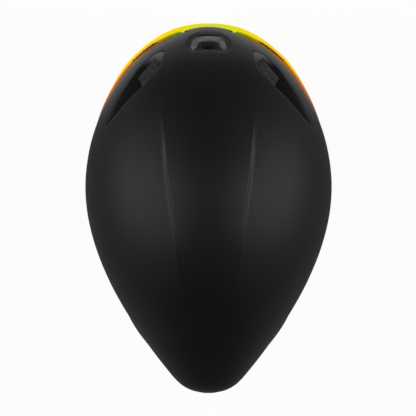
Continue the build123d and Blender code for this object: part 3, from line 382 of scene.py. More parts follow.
def section_point(turn, y):
    """The surface point at a turn (0 crown, 1 waist, 2 keel) and a place along the helmet."""
    half, top, waist, base, _, _ = sizes(y)
    over = np.minimum(turn, 2 - turn)
    end = np.where(turn <= 1, top, base)
    x = half * np.interp(over, TURN, OUT)
    z = waist + (end - waist) * np.interp(over, TURN, UP)
    return x, z + np.where(turn <= 1, spine_lift(x, y), 0)


print("widest half width:", round(float(sizes(np.linspace(-169, 173, 999))[0].max()), 1), "mm")

# %% [markdown]
# ## From arrays to pieces
# A surface is a grid of points and the four corners of each of its cells. The helmet is the
# same on both sides, so half of it is worked out and then mirrored. A mirror modifier would
# do that too, but here the halves are welded at once, so the wall that is added later has no
# seam. Where a strip of the grid closes up to nothing its points are made one, so that no
# thread of empty faces is left.

# %% Helpers for grids
WELD_REACH = 0.002


def grid_faces(rows, columns):
    """Corner numbers of each cell of a grid of points, as rows-1 by columns-1 by 4."""
    i, j = np.meshgrid(np.arange(rows - 1), np.arange(columns - 1), indexing="ij")
    first = i * columns + j
    return np.stack([first, first + 1, first + columns + 1, first + columns], -1)


def lanes_between(lines, counts, ease=0.0):
    """A grid's columns: the first line, then from each line to the next in so many steps.
    Ease draws the steps together at both lines, by its share of half a wave. Also returns
    the number of the lane in which each strip of cells lies."""
    columns, lanes = [lines[0][:, None]], []
    for lane, (count, low, high) in enumerate(zip(counts, lines, lines[1:])):
        steps = np.arange(1, count + 1) / count
        steps = (1 - np.cos(np.pi * steps)) / 2 * ease + steps * (1 - ease)
        columns.append(low[:, None] + (high - low)[:, None] * steps)
        lanes += [lane] * count
    return np.concatenate(columns, axis=1), np.array(lanes)


def welded(points, faces, carried=None):
    """Points that lie together become one, cells that lose a side become triangles, and cells
    and points that nothing needs go. What is carried for each point is kept for those left."""
    spots = np.round(points / WELD_REACH).astype(np.int64)
    _, first, where = np.unique(spots, axis=0, return_index=True, return_inverse=True)
    points, faces = points[first], where.reshape(-1)[faces.reshape(-1, 4)]
    doubled = faces == np.roll(faces, -1, axis=1)
    sides = 4 - doubled.sum(1)
    quads = faces[sides == 4]
    threes = faces[sides == 3][~doubled[sides == 3]].reshape(-1, 3)
    used, numbers = np.unique(np.concatenate([quads.ravel(), threes.ravel()]), return_inverse=True)
    cut = quads.size
    cells = numbers[:cut].reshape(-1, 4).tolist() + numbers[cut:].reshape(-1, 3).tolist()
    if carried is None:
        return points[used], cells
    return points[used], cells, carried[first][used]


def both_sides(points, faces, carried=None):
    """A left half welded to its mirror image, whose cells are turned back to face outwards."""
    points, faces = points.reshape(-1, 3), faces.reshape(-1, 4)
    faces = np.concatenate([faces, faces[:, ::-1] + len(points)])
    points = np.concatenate([points, points * (-1, 1, 1)])
    return welded(points, faces, None if carried is None else np.tile(carried, (2, 1)))


def placed(name, data):
    """A new object in the scene, at its origin."""
    made = bpy.data.objects.new(name, data)
    bpy.context.scene.collection.objects.link(made)
    return made


def wear(piece, finish):
    """Give a piece one finish and no other."""
    piece.data.materials.clear()
    piece.data.materials.append(finish)


def new_piece(name, points, faces, finish, body, stands_for=(), uv=None):
    """Make a piece from points in millimetres, and tie it to its body and its nodes. A piece
    that is given no body is tied to none."""
    mesh = bpy.data.meshes.new(name)
    mesh.from_pydata((np.asarray(points) * MM).tolist(), [], list(faces))
    if uv is not None:
        corners = np.empty(len(mesh.loops), dtype=np.int32)
        mesh.loops.foreach_get("vertex_index", corners)
        lay = uv[corners].astype(np.float32).ravel()
        mesh.uv_layers.new(name="lay").uv.foreach_set("vector", lay)
    mesh.shade_smooth()
    mesh.update()
    piece = placed(name, mesh)
    wear(piece, finish)
    if body:
        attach(piece, body)
    if stands_for:
        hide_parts(*stands_for)
    print(name, "has", len(mesh.vertices), "points")
    return piece


def thicken(piece, wall, within=None):
    """Give a surface its wall, inwards from the face that shows. The inner face and the rim
    can have a finish of their own."""
    solid = piece.modifiers.new("wall", "SOLIDIFY")
    if within:
        piece.data.materials.append(within)
        solid.material_offset = solid.material_offset_rim = 1
    solid.thickness = wall * MM
    solid.offset = -1
    solid.use_even_offset = True
    solid.use_quality_normals = True
    return piece


# %% [markdown]
# ## Upper shell
# The upper skin is one grid: rows across the helmet, and columns in lanes. The lanes' borders
# follow the lines that matter, the intake, the spine's crease and foot, and both edges of
# the side vent, so an opening is only cells left out and its edge is a clean curve. Cutting
# the openings out of a plain grid with booleans would leave ragged shading round them.

# %% Guide lines of the upper shell
BROW_HEIGHT, TEMPLE_Y, TEMPLE_HEIGHT = 79.0, -76.0, 54.0
BROW_SLOPE = (BROW_HEIGHT - TEMPLE_HEIGHT) / (TEMPLE_Y - NOSE_Y)
TONGUE_HALF_WIDTH, TONGUE_HEIGHT = 22.5, 75.0
# the line between the two skins: places along the helmet and its heights there
PARTING = np.array([(-175, 43.55), (-130, 50), (-50, 62), (60, 74), (120, 86), (180, 92)])
SEAM = 0.3

# place, inner edge, outer edge and depth of the side vent, as shares
VENT = np.array([
    (0.0710, 0.3530, 0.3720, 0.04),
    (0.0780, 0.3600, 0.4270, 0.35),
    (0.0910, 0.3700, 0.4750, 0.75),
    (0.1205, 0.3970, 0.5612, 1.00),
    (0.1470, 0.4740, 0.6140, 1.00),
    (0.1700, 0.5340, 0.6590, 0.90),
    (0.2033, 0.6336, 0.7180, 0.65),
    (0.2400, 0.7270, 0.7740, 0.35),
    (0.2710, 0.8080, 0.8200, 0.05),
])
VENT_FRONT, VENT_REAR = NOSE_Y + SHELL_LENGTH * VENT[[0, -1], 0]
INTAKE_HALF, INTAKE_FRONT, INTAKE_SHOULDER, INTAKE_REAR = 21.0, -164.2, -149.0, -143.6
INTAKE_CORNER, INTAKE_POWER = 6.5, 2.3


def brow_line(y):
    """The height of the brow: a straight line that falls from the nose to the temple."""
    return BROW_HEIGHT - BROW_SLOPE * (y - NOSE_Y)


def vent_edges(y):
    """The side vent's inner and outer edge and its depth share, held past both its tips."""
    inner, outer, depth = np.moveaxis(through_rows(VENT, (y - NOSE_Y) / SHELL_LENGTH), -1, 0)
    return inner * HALF_SHELL, outer * HALF_SHELL, depth


def intake_half_width(y):
    """The centre intake's half width: ahead of its shoulder a full arch, whose two shares,
    each raised to one power, sum to 1, then a round corner."""
    ahead = np.clip((INTAKE_SHOULDER - y) / (INTAKE_SHOULDER - INTAKE_FRONT), 0, 1)
    behind = np.clip((y - INTAKE_SHOULDER) / (INTAKE_REAR - INTAKE_SHOULDER), 0, 1)
    side = INTAKE_HALF * (1 - ahead**INTAKE_POWER) ** (1 / INTAKE_POWER)
    return side - INTAKE_CORNER * (1 - np.sqrt(1 - behind**2))


def shell_end(y):
    """The turn at which the upper skin ends: at the brow line, at the tongue that laps over
    the visor, or at the parting line, whichever is met."""
    half, top, waist, base, _, _ = sizes(y)
    parting = np.interp(y, *PARTING.T) + SEAM
    edge = np.maximum(np.where(y < TEMPLE_Y, brow_line(y), 0), parting)
    brow = turn_at_height(np.minimum(edge, top), top, waist, base)
    low = turn_at_height(np.minimum(TONGUE_HEIGHT, top), top, waist, base)
    side = np.where(half > TONGUE_HALF_WIDTH, turn_at_x(TONGUE_HALF_WIDTH, half), 1)
    return np.maximum(brow, np.where(y < TEMPLE_Y, np.minimum(low, side), 0))


print("vents from", round(VENT_FRONT, 1), "to", round(VENT_REAR, 1), "mm along the helmet")

# %% [markdown]
# ### Rows and lanes
# Rows crowd together where the form turns quickly: at the nose, at the intake's arch and
# corners, and at the tail. Even rows would need ten times as many for the same smooth
# outline. In each row the lanes' borders are found as widths, and turned into turns of the
# section curve.

# %% Rows and lanes of the upper shell
TAIL_START, TAIL_Y = 110, NOSE_Y + SHELL_LENGTH * STATIONS[-1, 0]
NOSE_SHARE = 0.0145
# past the vent its lane narrows to one line, which reaches this share of the flank here
GUIDE_Y, GUIDE_SHARE = 60, 0.55
LANE_COLUMNS, LANE_EASE = (12, 14, 5, 20, 8, 26), 0.6


def eased(count, power):
    """Numbers from 0 to 1 that start close together."""
    return np.linspace(0, 1, count) ** power


rows = np.unique(np.round(np.concatenate([
    NOSE_Y + SHELL_LENGTH * (STATIONS[0, 0] + NOSE_SHARE * eased(26, 2.2)),
    INTAKE_FRONT + (INTAKE_SHOULDER - INTAKE_FRONT) * eased(26, 2.0),
    INTAKE_REAR - (INTAKE_REAR - INTAKE_SHOULDER) * eased(12, 1.8),
    [VENT_FRONT],
    np.linspace(INTAKE_REAR, VENT_REAR, 62),
    np.linspace(VENT_REAR, TAIL_START, 52),
    TAIL_Y - (TAIL_Y - TAIL_START) * eased(30, 1.7),
]), 3))
half, _, _, _, crease, _ = sizes(rows)
in_intake = (rows >= INTAKE_FRONT) & (rows <= INTAKE_REAR)
in_vent = (rows >= VENT_FRONT) & (rows <= VENT_REAR)
rear_share = (INTAKE_HALF - INTAKE_CORNER) / sizes(INTAKE_REAR)[4]
intake_lane = np.where(in_intake, intake_half_width(rows), crease * rear_share)
intake_lane = np.where(rows < INTAKE_FRONT, 0, intake_lane)
crease_lane = np.maximum(crease, intake_lane * 1.08 + 0.1 * half)
foot_lane = np.minimum(crease_lane + SPINE_WALL, (crease_lane + half) / 2)


def flank_share(y, x):
    """How far out of the flank a width lies, from 0 at the spine's foot to 1 at the waist."""
    foot = np.interp(y, rows, foot_lane)
    return (x - foot) / (np.interp(y, rows, half) - foot)


front_share = flank_share(VENT_FRONT, VENT[0, 1:3].mean() * HALF_SHELL)
back_share = flank_share(VENT_REAR, VENT[-1, 1:3].mean() * HALF_SHELL)
share = np.interp(rows, [VENT_REAR, GUIDE_Y], [back_share, GUIDE_SHARE])
share = np.where(rows < VENT_FRONT, front_share, share)
guide = foot_lane + share * (half - foot_lane)
vent_lanes = [np.where(in_vent, edge, guide) for edge in vent_edges(rows)[:2]]

end_turn = shell_end(rows)
borders = [np.minimum(turn_at_x(line, half), end_turn)
           for line in (rows * 0, intake_lane, crease_lane, foot_lane, *vent_lanes)]
turns, lanes = lanes_between([*borders, end_turn], LANE_COLUMNS, LANE_EASE)
along = np.broadcast_to(rows[:, None], turns.shape)
shell_x, shell_z = section_point(turns, along)
print("upper shell's half grid:", turns.shape[0], "rows of", turns.shape[1], "points")

# %% [markdown]
# The openings' edges are rolled, not sharp. A bevel would roll every edge alike, also the
# brow and the parting line, so the roll is worked out: a small drop that grows as the square
# of the way into it, so it starts without a line and ends at a slope.

# %% Rolled edges
VENT_ROLL, VENT_ROLL_WIDTH = 1.0, 3.2
LIP_ROLL, LIP_ROLL_WIDTH = 0.45, 1.1
INTAKE_ROLL, INTAKE_ROLL_WIDTH = 0.8, 2.2
VENT_FADE, VENT_LEAN = 2.5, 0.75  # the vent's edges lean, which shortens distances to them
ARCH_SIZE, ARCH_LEAD = 17, 4
# the glossy line in the crease: how far out it lies, how wide it is, and the spine's height
# from which it shows in full
TIGHT_AT, TIGHT_WIDTH, TIGHT_RISE = 1.2, 1.6, 1.2


def roll(distance, width, depth):
    """The drop near an edge: depth times the square of the share of the roll still to go."""
    return depth * np.clip(1 - np.abs(distance) / width, 0, 1) ** 2


def vent_fade(y):
    """1 along the vent, easing to 0 past each tip."""
    return np.clip(1 + np.minimum(y - VENT_FRONT, VENT_REAR - y) / VENT_FADE, 0, 1)


def edge_drop(x, y):
    """How far the rolled edges lower the skin at a place of the plan: the roll of the vent's
    nearer edge, and the roll of the intake's arch, side or rear corner."""
    inner, outer, _ = vent_edges(y)
    outside = roll((x - outer) * VENT_LEAN, VENT_ROLL_WIDTH, VENT_ROLL)
    within = roll((inner - x) * VENT_LEAN, LIP_ROLL_WIDTH, LIP_ROLL)
    drop = (np.where(x >= outer, outside, 0) + np.where(x <= inner, within, 0)) * vent_fade(y)
    arch_y = np.minimum(y - INTAKE_SHOULDER, 0) / (INTAKE_SHOULDER - INTAKE_FRONT)
    arch = (np.hypot(x / INTAKE_HALF, arch_y) - 1) * ARCH_SIZE
    away = np.where(y < INTAKE_SHOULDER, arch, x - intake_half_width(y))
    past = y - INTAKE_REAR
    beyond = np.maximum(x - (INTAKE_HALF - INTAKE_CORNER), 0)
    away = np.where(past > 0, np.hypot(past, beyond), away)
    near = (away >= -0.01) & (y > INTAKE_FRONT - ARCH_LEAD)
    return drop + np.where(near, roll(away, INTAKE_ROLL_WIDTH, INTAKE_ROLL), 0)


shell_points = np.stack([shell_x, along, shell_z - edge_drop(shell_x, along)], -1)
crease_x, rise = sizes(along)[4:]
tight = np.exp(-((shell_x - crease_x - TIGHT_AT) / TIGHT_WIDTH) ** 2)
tight = (tight * np.clip(rise / TIGHT_RISE, 0, 1)).reshape(-1, 1)
middle = (rows[1:] + rows[:-1]) / 2
in_hole = ((middle > VENT_FRONT) & (middle < VENT_REAR))[:, None] & (lanes == 4)
in_hole |= ((middle > INTAKE_FRONT) & (middle < INTAKE_REAR))[:, None] & (lanes == 0)
shell_points, shell_faces, tight = both_sides(
    shell_points, grid_faces(*turns.shape)[~in_hole], np.tile(tight, 2))
thicken(new_piece("shell_upper", shell_points, shell_faces, shell_skin, "helmet",
                  ["outer_shell"], tight), SKIN)

# %% [markdown]
# ## Side scoops
# Air enters a side vent over a ramp. A soft shoulder carries the skin's gloss in from the
# outer edge and fades to a rougher floor, which painted shade darkens towards the deep end,
# and at the front tip a small facet is smoother and painted a light grey, a painted
# highlight. Three finishes on three pieces would meet at hard lines, so one finish reads a map
# of the ramp: across it in one direction, and along the vent in the other.

# %% Scoop finish
ramp_finish = Finish("scoop_plastic_painted_shade_and_highlight", Specular_IOR_Level=0.12)
lay = ramp_finish.lay()
over, down = ramp_finish.axis("X", lay), ramp_finish.axis("Y", lay)
rubbed = ramp_finish.noise(160, 3)
# Across the ramp the roughness rises, and painted shade darkens the colour towards the deep end.
depth = ramp_finish.between(over, 0.02, 0.34)
facet_and_painted_highlight = 1 - ramp_finish.between(down, 0.0, 0.045)
painted_floor_shade = ramp_finish.mix(depth * (1 - facet_and_painted_highlight), grey(0.0040), grey(0.0008))
# The facet at the front tip is painted a light grey: a painted highlight.
ramp_finish.set("Base Color", ramp_finish.mix(facet_and_painted_highlight, painted_floor_shade, grey(0.12)))
ramp_finish.set("Roughness", 0.46 + depth * 0.22 - facet_and_painted_highlight * 0.10 + (rubbed - 0.5) * 0.08)
ramp_finish.bump(ramp_finish.noise(2200, 1), 0.00002)
tell("scoop", ramp_finish.material)

# %% [markdown]
# ### The ramp itself
# The floor dives in under the inner edge, and a long window in it shows the bead foam. The
# ramp is a straight line across the vent in each row, raised a little by a shoulder. The
# window is a lane of cells left out, as the openings of the shell are, so its edge is sharp.

# %% Scoop surface
SCOOP_WALL, VENT_REACH, VENT_MOUTH, SHOULDER_RISE = 1.4, 12.0, 9.0, 0.2
FLOOR_BELOW, LIP_GAP, FACET_LENGTH = 2.3, 0.05, 9.0
# across the vent: share of the way from the outer edge to the deep end, and of the rise there
SCOOP_ACROSS = np.array([(0, 0), (0.10, 0.35), (0.22, 0.9), (0.40, 1.0), (0.70, 0.9), (1.0, 0.5)])
# the foam's window: where it starts and ends, how long its two ends taper, the width of ramp
# outside it at places along it, and how far it stays from the deep end
WINDOW_FRONT, WINDOW_REAR, FRONT_TAPER, REAR_TAPER = -139.5, -106.0, 9.0, 14.0
WINDOW_BESIDE = np.array([(-138, 4.6), (-129, 6.2), (-121, 5.0), (-112, 4.6)])
WINDOW_UNDER, WINDOW_END_SHARE = 5, 0.93


def scoop_surface(y, across):
    """Across the vent, from 0 at its outer edge to 1 at its deep end: the frame's straight
    ramp, a little raised. Near the front tip the deep end comes up to the inner edge."""
    inner, outer, depth = vent_edges(y)
    far = inner - VENT_REACH * depth
    floor = crown_height(np.maximum(far, 0), y, False) - SKIN - FLOOR_BELOW - VENT_MOUTH * depth
    lip = crown_height(outer, y, False) - VENT_ROLL - LIP_GAP
    closing = np.clip((y - VENT_FRONT) / FACET_LENGTH, 0, 1) ** 1.5
    end_x = inner + (far - inner) * closing
    end_z = (crown_height(inner, y, False) - LIP_ROLL - SKIN) * (1 - closing) + floor * closing
    swell = np.interp(across, *SCOOP_ACROSS.T) * SHOULDER_RISE * np.clip(depth * 1.6, 0, 1)
    x = outer - LIP_GAP + (end_x - outer) * across
    return np.stack([x, y, lip + (end_z - lip) * across + swell], -1)


def window_edges(y):
    """The window's outer and inner border as shares across the scoop. The inner one spreads
    from the outer one over the front taper, and the outer one meets it over the rear taper."""
    inner, outer, depth = vent_edges(y)
    span = outer - (inner - VENT_REACH * depth)
    start = np.interp(y, *WINDOW_BESIDE.T) / span
    stop = np.minimum((outer - inner + WINDOW_UNDER) / span, WINDOW_END_SHARE)
    ahead = np.clip((y - WINDOW_FRONT) / FRONT_TAPER, 0, 1)
    behind = np.clip((WINDOW_REAR - y) / REAR_TAPER, 0, 1)
    return stop - (stop - start) * behind, start + (stop - start) * ahead


scoop_rows = np.unique(np.concatenate([
    VENT_FRONT + (VENT_REAR - VENT_FRONT) * np.linspace(0, 1, 60),
    np.linspace(-140, -105, 70),
]))
start, stop = window_edges(scoop_rows)
nought = scoop_rows * 0
across, scoop_lanes = lanes_between(
    [nought, start, np.maximum(start, stop), nought + 1], (10, 12, 12))
along = np.broadcast_to(scoop_rows[:, None], across.shape)
scoop_points = scoop_surface(along, across)
scoop_lay = np.stack([across, (along - VENT_FRONT) / SHELL_LENGTH], -1).reshape(-1, 2)
window_rows = (scoop_rows[1:] > WINDOW_FRONT + 0.1) & (scoop_rows[:-1] < WINDOW_REAR - 0.1)
window = window_rows[:, None] & (scoop_lanes == 1)
scoop_cells = grid_faces(*across.shape)[~window][:, ::-1]
for label, side in SIDES:
    used, numbers = np.unique(scoop_cells[:, ::side], return_inverse=True)
    points = (scoop_points * (side, 1, 1)).reshape(-1, 3)[used]
    thicken(new_piece(f"intake_ramp_{label}", points, numbers.reshape(-1, 4).tolist(),
                      ramp_finish.material, "helmet", [f"vent_scoop_{label}"],
                      scoop_lay[used]), SCOOP_WALL)

# %% [markdown]
# ### Foam behind the window
# The foam that shows in the window is a rough cut face: its beads stand out, and some are
# torn away along the inner edge and leave pits, which painted shade darkens. A bump in the
# finish alone would look flat from the side, so the points of a fine grid move: beads come
# from two waves that wander, and pits from a slower wave that grows towards the inner edge.

# %% Foam patch under each window
FOAM_BELOW, BEAD_HEIGHT, PIT_DEPTH, PATCH_WALL = 0.75, 0.35, 0.5, 2.0
PIT_FROM, PIT_OVER = 0.30, 0.15


def bead_bumps(x, y):
    """Rounded bumps of about two millimetres: the product of two waves that wander."""
    first = np.sin(x * 2.9 + 1.3 * np.sin(y * 1.7))
    return np.abs(first * np.sin(y * 3.1 + 1.5 * np.sin(x * 1.9)))


patch_y, patch_across = np.meshgrid(
    np.linspace(WINDOW_FRONT - 1, WINDOW_REAR, 110), np.linspace(0.02, 0.98, 70), indexing="ij")
patch = scoop_surface(patch_y, patch_across)
slow = np.sin(patch[..., 0] * 0.9 + 2 * np.sin(patch_y * 0.55)) * np.sin(patch_y * 1.15)
pits_and_painted_shade = np.clip(slow - 0.05, 0, 1) * np.clip((patch_across - PIT_FROM) / PIT_OVER, 0, 1)
patch[..., 2] += bead_bumps(patch[..., 0], patch_y) * BEAD_HEIGHT - FOAM_BELOW - pits_and_painted_shade * PIT_DEPTH
# The pits' share also goes into the map, as the painted shade in the pits.
patch_lay = np.stack([pits_and_painted_shade, patch_across], -1).reshape(-1, 2)
patch_cells = grid_faces(*patch_y.shape)[:, :, ::-1].reshape(-1, 4)
for label, side in SIDES:
    points = (patch * (side, 1, 1)).reshape(-1, 3)
    thicken(new_piece(f"window_foam_{label}", points, patch_cells[:, ::side].tolist(), vent_foam,
                      "helmet", uv=patch_lay), PATCH_WALL)

# %% [markdown]
# ## Centre intake
# The frame of the centre intake is a dished collar: from the opening's edge in the skin it
# slopes to a mouth and then drops into the foam. A loft tool would twist between two such
# different outlines. Here both outlines get the same number of points at even steps, so each
# ring of the dish is a plain blend from the outer outline to the inner one.

# %% Rings of the intake
RIM_GAP, RING_POINTS, DISH_WALL = 0.15, 90, 1.2
MOUTH_HALF, MOUTH_FRONT, MOUTH_REAR = 17.8, -159.6, -144.4
MOUTH_MIDDLE = (MOUTH_FRONT + MOUTH_REAR) / 2
MOUTH_POWER, MOUTH_NARROWING = 3.6, 0.20
# share of the way from rim to mouth, and depth below the skin, ring by ring
DISH = np.array([
    (0.00, 1.00), (0.12, 1.15), (0.30, 1.60), (0.50, 2.20), (0.70, 2.85), (0.86, 3.40),
    (0.95, 3.85), (1.00, 4.60), (1.01, 5.6),
])


def even_line(line):
    """A line through points, with a ring's number of new points at even steps of its length."""
    gone = np.concatenate([[0], np.cumsum(np.hypot(*np.diff(line, axis=0).T))])
    even = np.linspace(0, gone[-1], RING_POINTS)
    return np.stack([np.interp(even, gone, line[:, k]) for k in (0, 1)], -1)


def rim_outline():
    """Half of the opening's edge, from its front middle round to its rear middle: the arch,
    the round corner and the straight rear, all a small gap inside the skin's edge."""
    arc = np.linspace(0, np.pi / 2, 120)
    half, rear = INTAKE_HALF - RIM_GAP, INTAKE_REAR - RIM_GAP
    depth = INTAKE_SHOULDER - INTAKE_FRONT - RIM_GAP
    arch = np.stack([half * np.sin(arc) ** (2 / INTAKE_POWER),
                     INTAKE_SHOULDER - depth * np.cos(arc) ** (2 / INTAKE_POWER)], -1)
    bend = np.stack([half - INTAKE_CORNER * (1 - np.cos(arc)),
                     INTAKE_SHOULDER + (rear - INTAKE_SHOULDER) * np.sin(arc)], -1)
    return even_line(np.concatenate([arch, bend[1:], [(0, rear)]]))


def mouth_outline():
    """Half of a rounded mouth that is wider at its rear: an oval with the sine and cosine
    raised to a power under 1, which squares it off, and its width drawn in ahead."""
    arc = np.linspace(0, np.pi, 300)
    power = 2 / MOUTH_POWER
    reach = (MOUTH_REAR - MOUTH_FRONT) / 2
    y = MOUTH_MIDDLE - reach * np.sign(np.cos(arc)) * np.abs(np.cos(arc)) ** power
    ahead = np.clip((MOUTH_REAR - y) / (MOUTH_REAR - MOUTH_FRONT), 0, 1)
    x = MOUTH_HALF * np.sin(arc) ** power * (1 - MOUTH_NARROWING * ahead)
    return even_line(np.stack([x, y], -1))


rim_ring, mouth_ring = rim_outline(), mouth_outline()
ring = rim_ring + (mouth_ring - rim_ring) * DISH[:, 0, None, None]
ring_z = crown_height(ring[..., 0], ring[..., 1]) - DISH[:, 1:2]
dish_points, dish_faces = both_sides(
    np.concatenate([ring, ring_z[..., None]], -1), grid_faces(*ring.shape[:2]))
thicken(new_piece("centre_intake_frame", dish_points, dish_faces, dish_plastic, "helmet",
                  ["front_vent_frame"]), DISH_WALL)

# %% [markdown]
# Behind the mouth the air goes down through the foam. The bottom can't be seen, so a funnel of
# rings stands for the cut: they shrink and slide back as they go down, so the lit front wall
# shows and the rest is dark. A map paints shade on it, darker with depth, and in the middle of
# the rear wall, which lies in the shade of the lip above it.

# %% Foam funnel behind the mouth
FUNNEL_RINGS, FUNNEL_WALL = 40, 2.0
PAINTED_SHADE_BELOW, PAINTED_SHADE_OVER = 7.0, 3.0
SHADE_FROM, SHADE_OVER, SHADE_HALF, SHADE_EASE = -149.0, 3.0, 15.0, 5.0
# share of the mouth's size, shift towards the rear and depth below the skin, ring by ring
FUNNEL = np.array([
    (1.02, 0.35, 4.7), (0.90, 1.27, 6.2), (0.76, 2.25, 7.4), (0.64, 3.17, 8.2), (0.44, 3.9, 12.4),
    (0.28, 4.54, 16.2), (0.20, 6.0, 20.5),
])
fine = np.linspace(0, len(FUNNEL) - 1, FUNNEL_RINGS)
share, shift, deep = (np.interp(fine, np.arange(len(FUNNEL)), line)[:, None] for line in FUNNEL.T)
tunnel_x = mouth_ring[:, 0] * share
tunnel_y = MOUTH_MIDDLE + (mouth_ring[:, 1] - MOUTH_MIDDLE) * share + shift
beads = 1 - bead_bumps(tunnel_x, tunnel_y + deep) * 0.024
tunnel_z = crown_height(tunnel_x, tunnel_y) - deep
tunnel = np.stack([tunnel_x * beads, tunnel_y, tunnel_z], -1)
tunnel_points, tunnel_faces = both_sides(tunnel, grid_faces(*tunnel.shape[:2]))
x, y, z = tunnel_points.T
# Painted shade: darker with depth below the skin, and on the middle of the rear wall.
painted_funnel_shade = np.clip((crown_height(x, y) - z - PAINTED_SHADE_BELOW) / PAINTED_SHADE_OVER, 0, 1)
shade = np.clip((y - SHADE_FROM) / SHADE_OVER, 0, 1)
painted_funnel_shade = np.maximum(painted_funnel_shade, shade * np.clip((SHADE_HALF - np.abs(x)) / SHADE_EASE, 0, 1))
thicken(new_piece("centre_intake_foam", tunnel_points, tunnel_faces, pale_foam, "helmet",
                  uv=np.stack([painted_funnel_shade, painted_funnel_shade], -1)), FUNNEL_WALL)

# %% [markdown]
# ## Visor
# The lens is pressed from clear plastic to a double curve, and hangs under the brow. Level by
# level, its plan goes from the shell's own brow line to a fuller curve and back in towards
# the cheeks. A flat sheet bent to one curve would miss that swell, so the form is a function
# of the way along its plan and the drop below the brow.

# %% Visor surface
VISOR_REACH, VISOR_WALL, VISOR_GAP = 4.2, 2.0, 0.3
# corners of the two plan cubics: shares of the half width and of the length
BROW_PLAN = np.array([(0, 0), (0.310, 0), (0.811, 0.1196), (0.944, 0.3188)])
FULL_PLAN = np.array([(0, 0), (0.448, 0), (0.816, 0.1196), (0.950, 0.3188)])
# share of the drop below the brow, and how far the plan has gone to the fuller curve there
BULGE = np.array([
    (-0.06, -0.35), (0.00, 0.02), (0.03, 0.30), (0.075, 0.62), (0.15, 0.86), (0.25, 0.97),
    (0.36, 1.00), (0.53, 0.75), (0.73, 0.05), (0.94, -1.20), (1.06, -1.70),
])
# the lower edge's places and heights, and the nose arch's half width, height and foot
LOWER_EDGE = np.array([(-200, 20.8), (-148, 7), (-118, 3.5), (-84, 7), (-64, 28), (-58, 194)])
NOSE_CUT = (26.0, 24.0, 4.0)


def visor_point(along, drop):
    """A point of the lens: along its plan curve from 0 at the nose, and down by a share of
    the brow's height. The plan is a cubic, blended between two curves by the level's bulge."""
    bulge = through_rows(BULGE, drop)[..., 0]
    ahead = VISOR_REACH * bulge / SHELL_LENGTH
    weights = np.stack([(1 - along) ** 3, 3 * along * (1 - along) ** 2,
                        3 * along**2 * (1 - along), along**3])
    x = sum(w * (b[0] + bulge * (f[0] - b[0])) for w, b, f in zip(weights, BROW_PLAN, FULL_PLAN))
    y = sum(w * (b[1] - (ahead if b[1] == 0 else 0)) for w, b in zip(weights, BROW_PLAN))
    y = y * SHELL_LENGTH
    z = BROW_HEIGHT * (1 - drop) - BROW_SLOPE * y
    return np.stack([x * HALF_SHELL, y + NOSE_Y, z], -1)


# along the plan from the nose: how far the lens stands out from its plan curve, and how far
# its top edge is drawn in to meet the shell
STAND_OUT = np.array([
    (0, 0.2), (0.1, 0.5), (0.2, 1.2), (0.35, 1.5), (0.45, 1.7), (0.54, 2.3), (0.60, 2.0),
    (0.7, 1.2), (0.85, 1.1), (1, 1.0),
])
DRAWN_IN = np.array([
    (0, 2.2), (0.15, 2.1), (0.20, 1.9), (0.30, 1.5), (0.36, 0.7), (0.40, 0.0), (0.46, -0.6),
    (0.54, -0.9), (0.66, -0.6), (0.74, -0.2), (0.95, 0.2), (1.0, 0.2),
])
DRAWN_FADE = 0.28
# the lens's rear edge at the temple, the rounding of its corner with the brow edge, the
# rounding of the lower edge, and the room beside the tongue
FLAP_SLOPE, FLAP_DROP, CORNER_EASE, LOWER_EASE = 3.0, 2.4, 5.0, 7.0
TONGUE_ROOM, TONGUE_EASE = 0.4, 1.6


def lens_point(along, drop, top):
    """The lens's form with its top edge drawn in along the plan's normal, easing to nothing
    a little below the edge."""
    here = visor_point(along, drop)
    ahead = visor_point(along + 0.001, drop)[..., :2] - visor_point(along - 0.001, drop)[..., :2]
    normal = np.stack([-ahead[..., 1], ahead[..., 0]], -1)
    normal = normal / np.linalg.norm(normal, axis=-1, keepdims=True)
    left = np.clip(1 - (drop - top) / DRAWN_FADE, 0, 1)
    out = np.interp(along, *STAND_OUT.T)
    pull = (np.interp(along, *DRAWN_IN.T) + out) * left**2 - out
    here[..., :2] += normal * pull[..., None]
    return here


def softened(y, table, reach):
    """A broken line with its corners rounded: the mean of the line over a short stretch."""
    offsets = np.linspace(-reach, reach, 9)
    return np.mean([np.interp(y + step, *table.T) for step in offsets], axis=0)


def inside_lens(point):
    """How far a point lies inside the lens's outline, negative outside it: below the lower of
    the brow and the temple edge, less a square where those two are near each other, which
    rounds their corner, and above the higher of the lower edge and the nose arch."""
    x, y, z = np.moveaxis(point, -1, 0)
    flap = TEMPLE_HEIGHT - FLAP_SLOPE * (y - TEMPLE_Y) - FLAP_DROP
    brow = brow_line(y) - VISOR_GAP
    near = np.clip(CORNER_EASE - np.abs(brow - flap), 0, None)
    brow = np.minimum(brow, flap) - near**2 / 4 / CORNER_EASE
    tongue = np.clip((np.abs(x) - TONGUE_HALF_WIDTH - TONGUE_ROOM) / TONGUE_EASE, 0, 1)
    top = brow - (1 - tongue) * np.maximum(brow - TONGUE_HEIGHT + VISOR_GAP, 0)
    width, height, foot = NOSE_CUT
    arch = foot + height * np.sqrt(np.clip(1 - (x / width) ** 2, 0, 1))
    arch = np.where(np.abs(x) < width, arch, -99)
    bottom = np.maximum(softened(y, LOWER_EDGE, LOWER_EASE), arch)
    return np.minimum(top - z, z - bottom)


# %% [markdown]
# ### Outline and slots
# The outline could be cut out with a boolean, which leaves long thin faces along the cut.
# Instead each column of the grid is sampled finely, and runs only between the two drops at
# which it crosses the outline. A thin slot in each shoulder lets air out. It is a lane of
# cells left out, whose two lines follow the top edge and come together at both ends.

# %% Trim the lens
SLOT_X, SLOT_DROP, SLOT_HALF_LENGTH, SLOT_HALF_WIDTH = 58.6, 3.9, 16.0, 1.05
LENS_COLUMNS, LENS_SAMPLES, LENS_END, SLOT_BELOW = 150, 900, 0.985, 0.02

